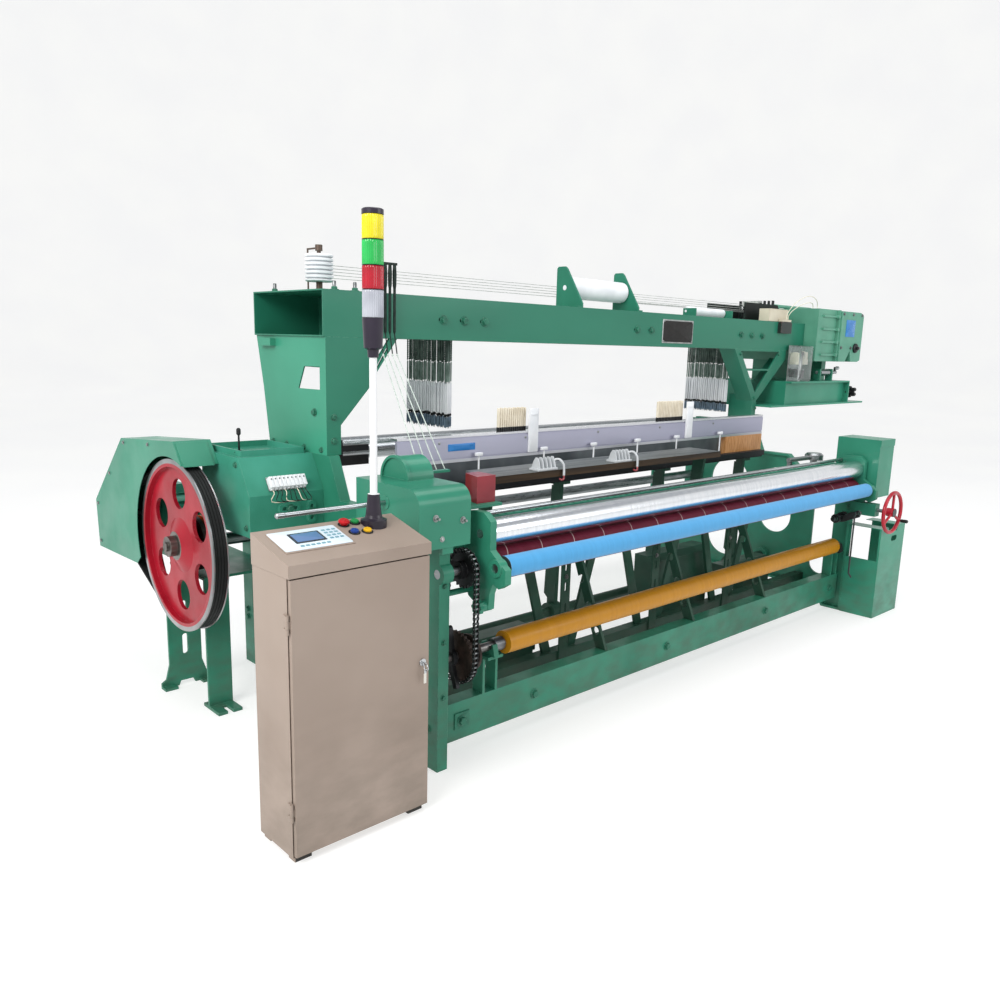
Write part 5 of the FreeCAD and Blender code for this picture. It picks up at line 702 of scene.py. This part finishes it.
# ---- drive chain -------------------------------------------------------------------------
def round_two(first, second, count):
    """Places at equal steps along a band drawn tight round two circles (y, z, r): arc, line, arc, line."""
    (y1, z1, r1), (y2, z2, r2) = first, second
    along, apart = math.atan2(z2 - z1, y2 - y1), math.hypot(y2 - y1, z2 - z1)
    lean = math.acos((r1 - r2) / apart)
    run = apart * math.sin(lean)
    lengths = np.array([r1 * (2 * math.pi - 2 * lean), run, r2 * 2 * lean, run])
    s = np.arange(count) * lengths.sum() / count
    ends = np.cumsum(lengths)
    a1 = along + lean + s / r1
    below, above = [np.array([math.cos(a), math.sin(a)]) for a in (along - lean, along + lean)]
    low, low_end = np.array([y1, z1]) + r1 * below, np.array([y2, z2]) + r2 * below
    a2 = along - lean + (s - ends[1]) / r2
    high, high_end = np.array([y2, z2]) + r2 * above, np.array([y1, z1]) + r1 * above
    t1, t2 = ((s - ends[0]) / run)[:, None], ((s - ends[2]) / run)[:, None]
    arc1 = np.stack([y1 + r1 * np.cos(a1), z1 + r1 * np.sin(a1)], -1)
    arc2 = np.stack([y2 + r2 * np.cos(a2), z2 + r2 * np.sin(a2)], -1)
    return np.where((s < ends[0])[:, None], arc1, np.where((s < ends[1])[:, None], low + t1 * (low_end - low),
                    np.where((s < ends[2])[:, None], arc2, high + t2 * (high_end - high))))


LINKS = 66
UPPER_SPROCKET, LOWER_SPROCKET = (0.785, 0.0769), (0.0, 0.435, 0.1049)
LINK_R, LINK_WAIST, LINK_T = 0.0072, 0.0048, 0.0015
upper_low, upper_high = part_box("take_up_roller")
take_y = (upper_low.y + upper_high.y) / 2 - HOME[1]
pins = round_two((take_y, *UPPER_SPROCKET), LOWER_SPROCKET, LINKS)
ahead = np.roll(pins, -1, axis=0) - pins
pitch = np.linalg.norm(ahead, axis=1)
ahead /= pitch[:, None]
half = pitch.mean() / 2
arc = np.linspace(-math.pi / 2, math.pi / 2, 6)
link_y = np.concatenate([half + LINK_R * np.cos(arc), [0], -half - LINK_R * np.cos(arc), [0]])
link_z = np.concatenate([LINK_R * np.sin(arc), [LINK_WAIST], -LINK_R * np.sin(arc), [-LINK_WAIST]])
side = loft([plan("X", link_y, link_z, c) for c in (0.0, LINK_T)])
turn = np.zeros((LINKS, 3, 3))
turn[:, 0, 0] = 1
turn[:, 1, 1], turn[:, 2, 1] = ahead[:, 0], ahead[:, 1]
turn[:, 1, 2], turn[:, 2, 2] = -ahead[:, 1], ahead[:, 0]
middle = pins + ahead * half
step_in = np.where(np.arange(LINKS) % 2 == 0, 0.0, 0.0017)
left = np.column_stack([0.1162 + step_in, middle[:, 0], middle[:, 1]])
right = np.column_stack([0.1363 - step_in, middle[:, 0], middle[:, 1]])
chain = [(set_out(side, turn, left), dark_steel), (set_out(side, turn, right), dark_steel)]
bush = turned([(0.0, 0.0044), (0.0168, 0.0044)], (0.1186, 0, 0), "X", 10)
rivet = turned([(0.0, 0.0026), (0.0006, 0.003), (0.0222, 0.003), (0.0228, 0.0026)], (0.1156, 0, 0), "X", 8)
centres = np.column_stack([np.zeros(LINKS), pins])
chain += [(moved(bush, *centres), bolt_steel), (moved(rivet, *centres), bolt_steel)]
piece("roller_chain", chain, "frame", ("drive_chain",), 30)

# ---- heald harness -----------------------------------------------------------------------
seeded = np.random.default_rng(7)
harness_parts = []
BUNDLE_X, IN_A_ROW = (0.770, 3.190), 22
count = 3 * IN_A_ROW
for x in BUNDLE_X:
    harness_parts.append((block(x - 0.014, x + 0.014, 0.8375, 1.1845, 1.700, 1.716, 0.0015), zinc))
    ys = np.tile(np.linspace(0.852, 1.170, IN_A_ROW), 3)
    xs = np.repeat([-0.0105, 0.0, 0.0105], IN_A_ROW) + x + seeded.uniform(-0.0025, 0.0025, count)
    drop = seeded.uniform(-0.005, 0.005, count)
    feet = np.column_stack([xs, ys + seeded.uniform(-0.003, 0.003, count), drop])
    wire = turned([(0.0, 0.0011), (0.494, 0.0011)], (0, 0, 1.207), "Z", 6)
    spring = turned([(z, 0.0048 if k % 2 else 0.0034) for k, z in enumerate(np.linspace(0, 0.155, 30))],
                    (0, 0, 1.530), "Z", 6)
    sleeve = turned([(0, 0.002), (0.004, 0.0034), (0.090, 0.0034), (0.094, 0.002)], (0, 0, 1.432), "Z", 8)
    tube = turned([(0, 0.003), (0.003, 0.0048), (0.144, 0.0048), (0.147, 0.003)], (0, 0, 1.280), "Z", 8)
    clip = turned([(0, 0.003), (0.002, 0.005), (0.010, 0.005), (0.012, 0.003)], (0, 0, 1.266), "Z", 6)
    weight = turned([(0, 0.002), (0.004, 0.0052), (0.046, 0.0052), (0.050, 0.003)], (0, 0, 1.214), "Z", 6)
    flat = np.column_stack([feet[:, 0], feet[:, 1], np.zeros(count)])
    harness_parts += [(moved(wire, *flat), zinc), (moved(spring, *feet), spring_dark),
                      (moved(sleeve, *feet), sleeve_grey), (moved(tube, *feet), nylon),
                      (moved(clip, *feet), black_plastic), (moved(weight, *feet), weight_blue)]
piece("heald_harness", harness_parts, "harness", ("harness_cords",))

# ---- sley furniture ----------------------------------------------------------------------
# the tees stand on the race board, and pass behind the temple bar when the sley is forward
TEE_Y = 0.506
TEE_X = (0.665, 1.090, 1.458, 1.820, 2.179, 2.624)
UPRIGHT_X = (1.026, 2.312)
tee = [block(-0.011, 0.011, -0.006, 0.008, 0.985, 1.006, 0.001),
       along_path([(0, 0, 1.003), (0, 0, 1.06), (0, 0, 1.124)], 0.0042, 10),
       block(-0.020, 0.020, -0.007, 0.007, 1.118, 1.134, 0.002)]
tees = moved(join(*tee), *[(x, TEE_Y, 0) for x in TEE_X])
uprights = [block(x - 0.031, x + 0.031, 0.5165, 0.5262, 1.112, 1.322, 0.0015, "Y", 0.003)
            for x in UPRIGHT_X]
uprights += [block(x - 0.024, x + 0.024, 0.5145, 0.5165, 1.29, 1.296, 0.0005, "Y") for x in UPRIGHT_X]
sley_set = [(tees, nylon)] + [(u, nylon) for u in uprights]
for x0, x1, count in ((0.830, 1.000, 13), (2.055, 2.282, 17)):
    step = (x1 - x0) / (count - 1)
    tooth = block(-0.0044, 0.0044, 0.552, 0.566, 1.228, 1.325, 0.0012, "Y", 0.0018)
    foot = block(-0.0048, 0.0048, 0.551, 0.567, 1.2155, 1.236, 0.0008)
    sley_set.append((moved(tooth, *[(x0 + k * step, 0, 0.002 * (k % 2)) for k in range(count)]), cream))
    sley_set.append((moved(foot, *[(x0 + k * step, 0, 0) for k in range(count)]), black_plastic))
    sley_set.append((block(x0 - 0.006, x1 + 0.006, 0.556, 0.562, 1.27, 1.29, 0.001, "X"), cream))
sley_set.append((block(0.499, 0.658, 0.5245, 0.5262, 1.146, 1.178, 0.0004, "Y", 0.002), blue_plate))
sley_set.append((bolts("-Y", [(x, 0.526, 1.185) for x in np.arange(0.45, 3.1, 0.53)], 0.005), zinc))
sley_set.append((bolts("-Y", [(x, 0.52, z) for x in (0.262, 0.294, 0.326) for z in (1.01, 1.07)], 0.005),
                 zinc))
piece("sley_guides", sley_set, "sley")

# ---- temple guides -----------------------------------------------------------------------
temple_set = []
for x0, x1 in ((0.700, 0.820), (1.215, 1.335)):
    temple_set.append((block(x0, x1, 0.155, 0.215, 1.0878, 1.097, 0.0015), grey_nylon))
    fin = plate("X", [(0.158, 1.094), (0.212, 1.094), (0.200, 1.128), (0.188, 1.144), (0.176, 1.144),
                      (0.166, 1.128)], -0.0025, 0.0025)
    temple_set.append((moved(fin, *[(x, 0, 0) for x in np.linspace(x0 + 0.012, x1 - 0.012, 5)]), grey_nylon))
    arm = curve([(x1 - 0.012, 0.176, 1.128), (x1 + 0.006, 0.156, 1.132), (x1 + 0.016, 0.139, 1.112),
                 (x1 + 0.018, 0.136, 1.085), (x1 + 0.016, 0.134, 1.062)], 20)
    temple_set.append((along_path(arm, 0.0052, 10), grey_nylon))
    hook = curve([(x1 + 0.016, 0.134, 1.064), (x1 + 0.012, 0.130, 1.050), (x1 + 0.002, 0.131, 1.044),
                  (x1 - 0.010, 0.135, 1.050)], 14)
    temple_set.append((along_path(hook, 0.0042, 8), maroon_enamel))
piece("temple_guides", temple_set, "frame")

# ---- plates, relay box and terminals -----------------------------------------------------
plates = [(block(2.262, 2.568, 0.7152, 0.7172, 1.651, 1.788, 0.0005, "Y", 0.004), zinc),
          (block(2.270, 2.560, 0.7144, 0.7153, 1.659, 1.780, 0.0003, "Y", 0.003), black_plate),
          (bolts("-Y", [(x, 0.7144, z) for x in (2.274, 2.556) for z in (1.663, 1.776)], 0.004), zinc)]
piece("beam_blank_plate", plates, "frame")
relay = [(block(3.705, 3.885, 0.6130, 0.6155, 1.4205, 1.66, 0.0008, "Y", 0.006), clear_shell),
         (block(3.705, 3.7075, 0.6160, 0.694, 1.4205, 1.66, 0.0008, "X"), clear_shell),
         (block(3.705, 3.885, 0.6160, 0.694, 1.6602, 1.6625, 0.0008), clear_shell),
         (block(3.700, 3.890, 0.694, 0.698, 1.4202, 1.665, 0.001, "Y"), zinc)]
for k, (upper, lower) in enumerate(((cream, black_plastic), (black_plastic, nylon), (cream, black_plastic))):
    x = 0.052 * k
    relay.append((block(3.722 + x, 3.762 + x, 0.640, 0.693, 1.535, 1.615, 0.002, "Y"), upper))
    relay.append((block(3.724 + x, 3.760 + x, 0.655, 0.693, 1.450, 1.505, 0.002, "Y"), lower))
piece("relay_box", relay, "frame")
MODULES, MODULE_STEP = 9, 0.0185
slope = np.array([0.0, 0.088, 0.148])
slope /= np.linalg.norm(slope)
out = np.array([0.0, -slope[2], slope[1]])
lay = np.stack([AXIS["X"], slope, out], -1)
base_place = np.array([-0.165, 0.7735, 1.0315])
module = join(block(-0.0085, 0.0085, -0.024, 0.024, 0.004, 0.030, 0.0012),
              block(-0.0055, 0.0055, -0.030, -0.020, 0.004, 0.018, 0.0008))
screw = turned([(0, 0.0035), (0.0015, 0.0035), (0.002, 0.0025)], (0, 0.012, 0.0298), "Z", 10)
strip = [(set_out(block(-0.084, 0.084, -0.030, 0.030, 0.0, 0.005, 0.001), [lay], [base_place]), zinc)]
offsets = [base_place + AXIS["X"] * (MODULE_STEP * (k - 4)) for k in range(MODULES)]
strip += [(set_out(module, [lay] * MODULES, offsets), nylon),
          (set_out(screw, [lay] * MODULES, offsets), bolt_steel)]
for k in range(MODULES):
    start = offsets[k] + out * 0.012 - slope * 0.028
    lead = curve([start, start - slope * 0.02 + out * 0.008,
                  start - slope * 0.055 + AXIS["X"] * 0.004 * (k - 4) + out * 0.004,
                  base_place - slope * 0.085 + AXIS["X"] * (0.03 + 0.006 * k) + out * 0.006], 12)
    strip.append((along_path(lead, 0.0018, 6), black_plastic if k % 3 else cream))
piece("terminal_strip", strip, "frame")

# ---- dobby trim ----------------------------------------------------------------------------
knob = turned([(0, 0.034), (0.012, 0.034), (0.016, 0.028), (0.016, 0.012), (0.03, 0.012), (0.034, 0.006)],
              (0, 0, 0), "Z", 24)
trim = [(block(4.30, 4.44, 0.5875, 0.5905, 1.74, 1.86, 0.0006, "Y", 0.004), blue_plate),
        (set_out(knob, [TURNS["-Y"]], [(4.47, 0.5905, 1.66)]), dark_steel)]
piece("dobby_trim", trim, "frame")

# ---- floor, lights and camera --------------------------------------------------------------
FLOOR_AROUND, FLAT_R, RISE_R, WALL = 96, 22.0, 10.0, 20.0  # flat out to FLAT_R, then a curve up
turn_steps = np.linspace(0, math.pi / 2, 14)
wall = np.column_stack([FLAT_R + RISE_R * np.sin(turn_steps), WALL - WALL * np.cos(turn_steps)])
bowl = np.concatenate([[(0.0, 0.0), (6.0, 0.0), (14.0, 0.0)], wall])
sweep = np.arange(FLOOR_AROUND) * 2 * math.pi / FLOOR_AROUND
floor_points = np.stack([bowl[:, :1] * np.cos(sweep), bowl[:, :1] * np.sin(sweep),
                         bowl[:, 1:] * np.ones(FLOOR_AROUND)], -1)
index = np.arange(len(bowl) * FLOOR_AROUND).reshape(len(bowl), FLOOR_AROUND)
after = np.roll(index, -1, axis=1)
floor_faces = np.stack([index[:-1], after[:-1], after[1:], index[1:]], -1).reshape(-1, 4)[:, ::-1]
floor_mesh = bpy.data.meshes.new("studio_floor")
floor_mesh.from_pydata(floor_points.reshape(-1, 3).tolist(), [], floor_faces.tolist())
floor_mesh.polygons.foreach_set("use_smooth", np.ones(len(floor_faces), bool))
floor_mesh.materials.append(finish("pale_floor", ("b5b5b4", "b3b3b3"), (0.85, 0.95), scale=0.6,
                                   grain=(30, 0.00002), glow=1.3))
floor = bpy.data.objects.new("studio_floor", floor_mesh)
bpy.context.scene.collection.objects.link(floor)
floor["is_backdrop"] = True

world = bpy.data.worlds.new("studio")
bpy.context.scene.world = world
world.use_nodes = True
sky = world.node_tree.nodes["Background"]
sky.inputs["Color"].default_value = (0.93, 0.96, 1.0, 1.0)
sky.inputs["Strength"].default_value = 0.5


def softbox(name, place, target, size, power, tint=(1, 1, 1)):
    """Rectangular area light at a place, facing its target."""
    light = bpy.data.lights.new(name, "AREA")
    light.shape, light.size, light.size_y = "RECTANGLE", size[0], size[1]
    light.energy, light.color = power, tint
    made = bpy.data.objects.new(name, light)
    made.location = place
    made.rotation_euler = (Vector(target) - Vector(place)).to_track_quat("-Z", "Y").to_euler()
    bpy.context.scene.collection.objects.link(made)


softbox("key_light", (-7.5, -2.2, 4.8), (-0.6, -0.2, 0.9), (4.0, 3.0), 385, (1.0, 0.985, 0.96))
softbox("fill_light", (3.0, -7.5, 3.6), (0.6, 0.0, 0.8), (5.0, 3.0), 150, (0.96, 0.98, 1.0))
softbox("top_light", (0.0, -0.6, 6.5), (0.0, 0.0, 0.8), (7.0, 3.0), 190)

camera_data = bpy.data.cameras.new("camera")
camera_data.lens, camera_data.sensor_width = 30.85, 36.0
camera_data.shift_x, camera_data.shift_y = -0.0037, 0.0212
camera = bpy.data.objects.new("camera", camera_data)
bpy.context.scene.collection.objects.link(camera)
CAMERA_FROM_HOME = Vector((-1.911, -2.399, 1.62))
yaw, pitch_down, lean = math.radians(43.356), math.radians(11.677), math.radians(1.585)
ahead_of = Vector((math.sin(yaw) * math.cos(pitch_down), math.cos(yaw) * math.cos(pitch_down),
                   -math.sin(pitch_down)))
flat_right = Vector((math.cos(yaw), -math.sin(yaw), 0.0))
flat_up = flat_right.cross(ahead_of)
right_of = flat_right * math.cos(lean) + flat_up * math.sin(lean)
up_of = flat_up * math.cos(lean) - flat_right * math.sin(lean)
facing = Matrix((right_of, up_of, -ahead_of)).transposed().to_4x4()
camera.matrix_world = Matrix.Translation(Vector(HOME) + CAMERA_FROM_HOME) @ facing
bpy.context.scene.camera = camera
bpy.context.scene.view_settings.view_transform = "Standard"

low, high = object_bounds()
{"cad": [list(corner) for corner in cad_size], "visual": [list(low), list(high)]}
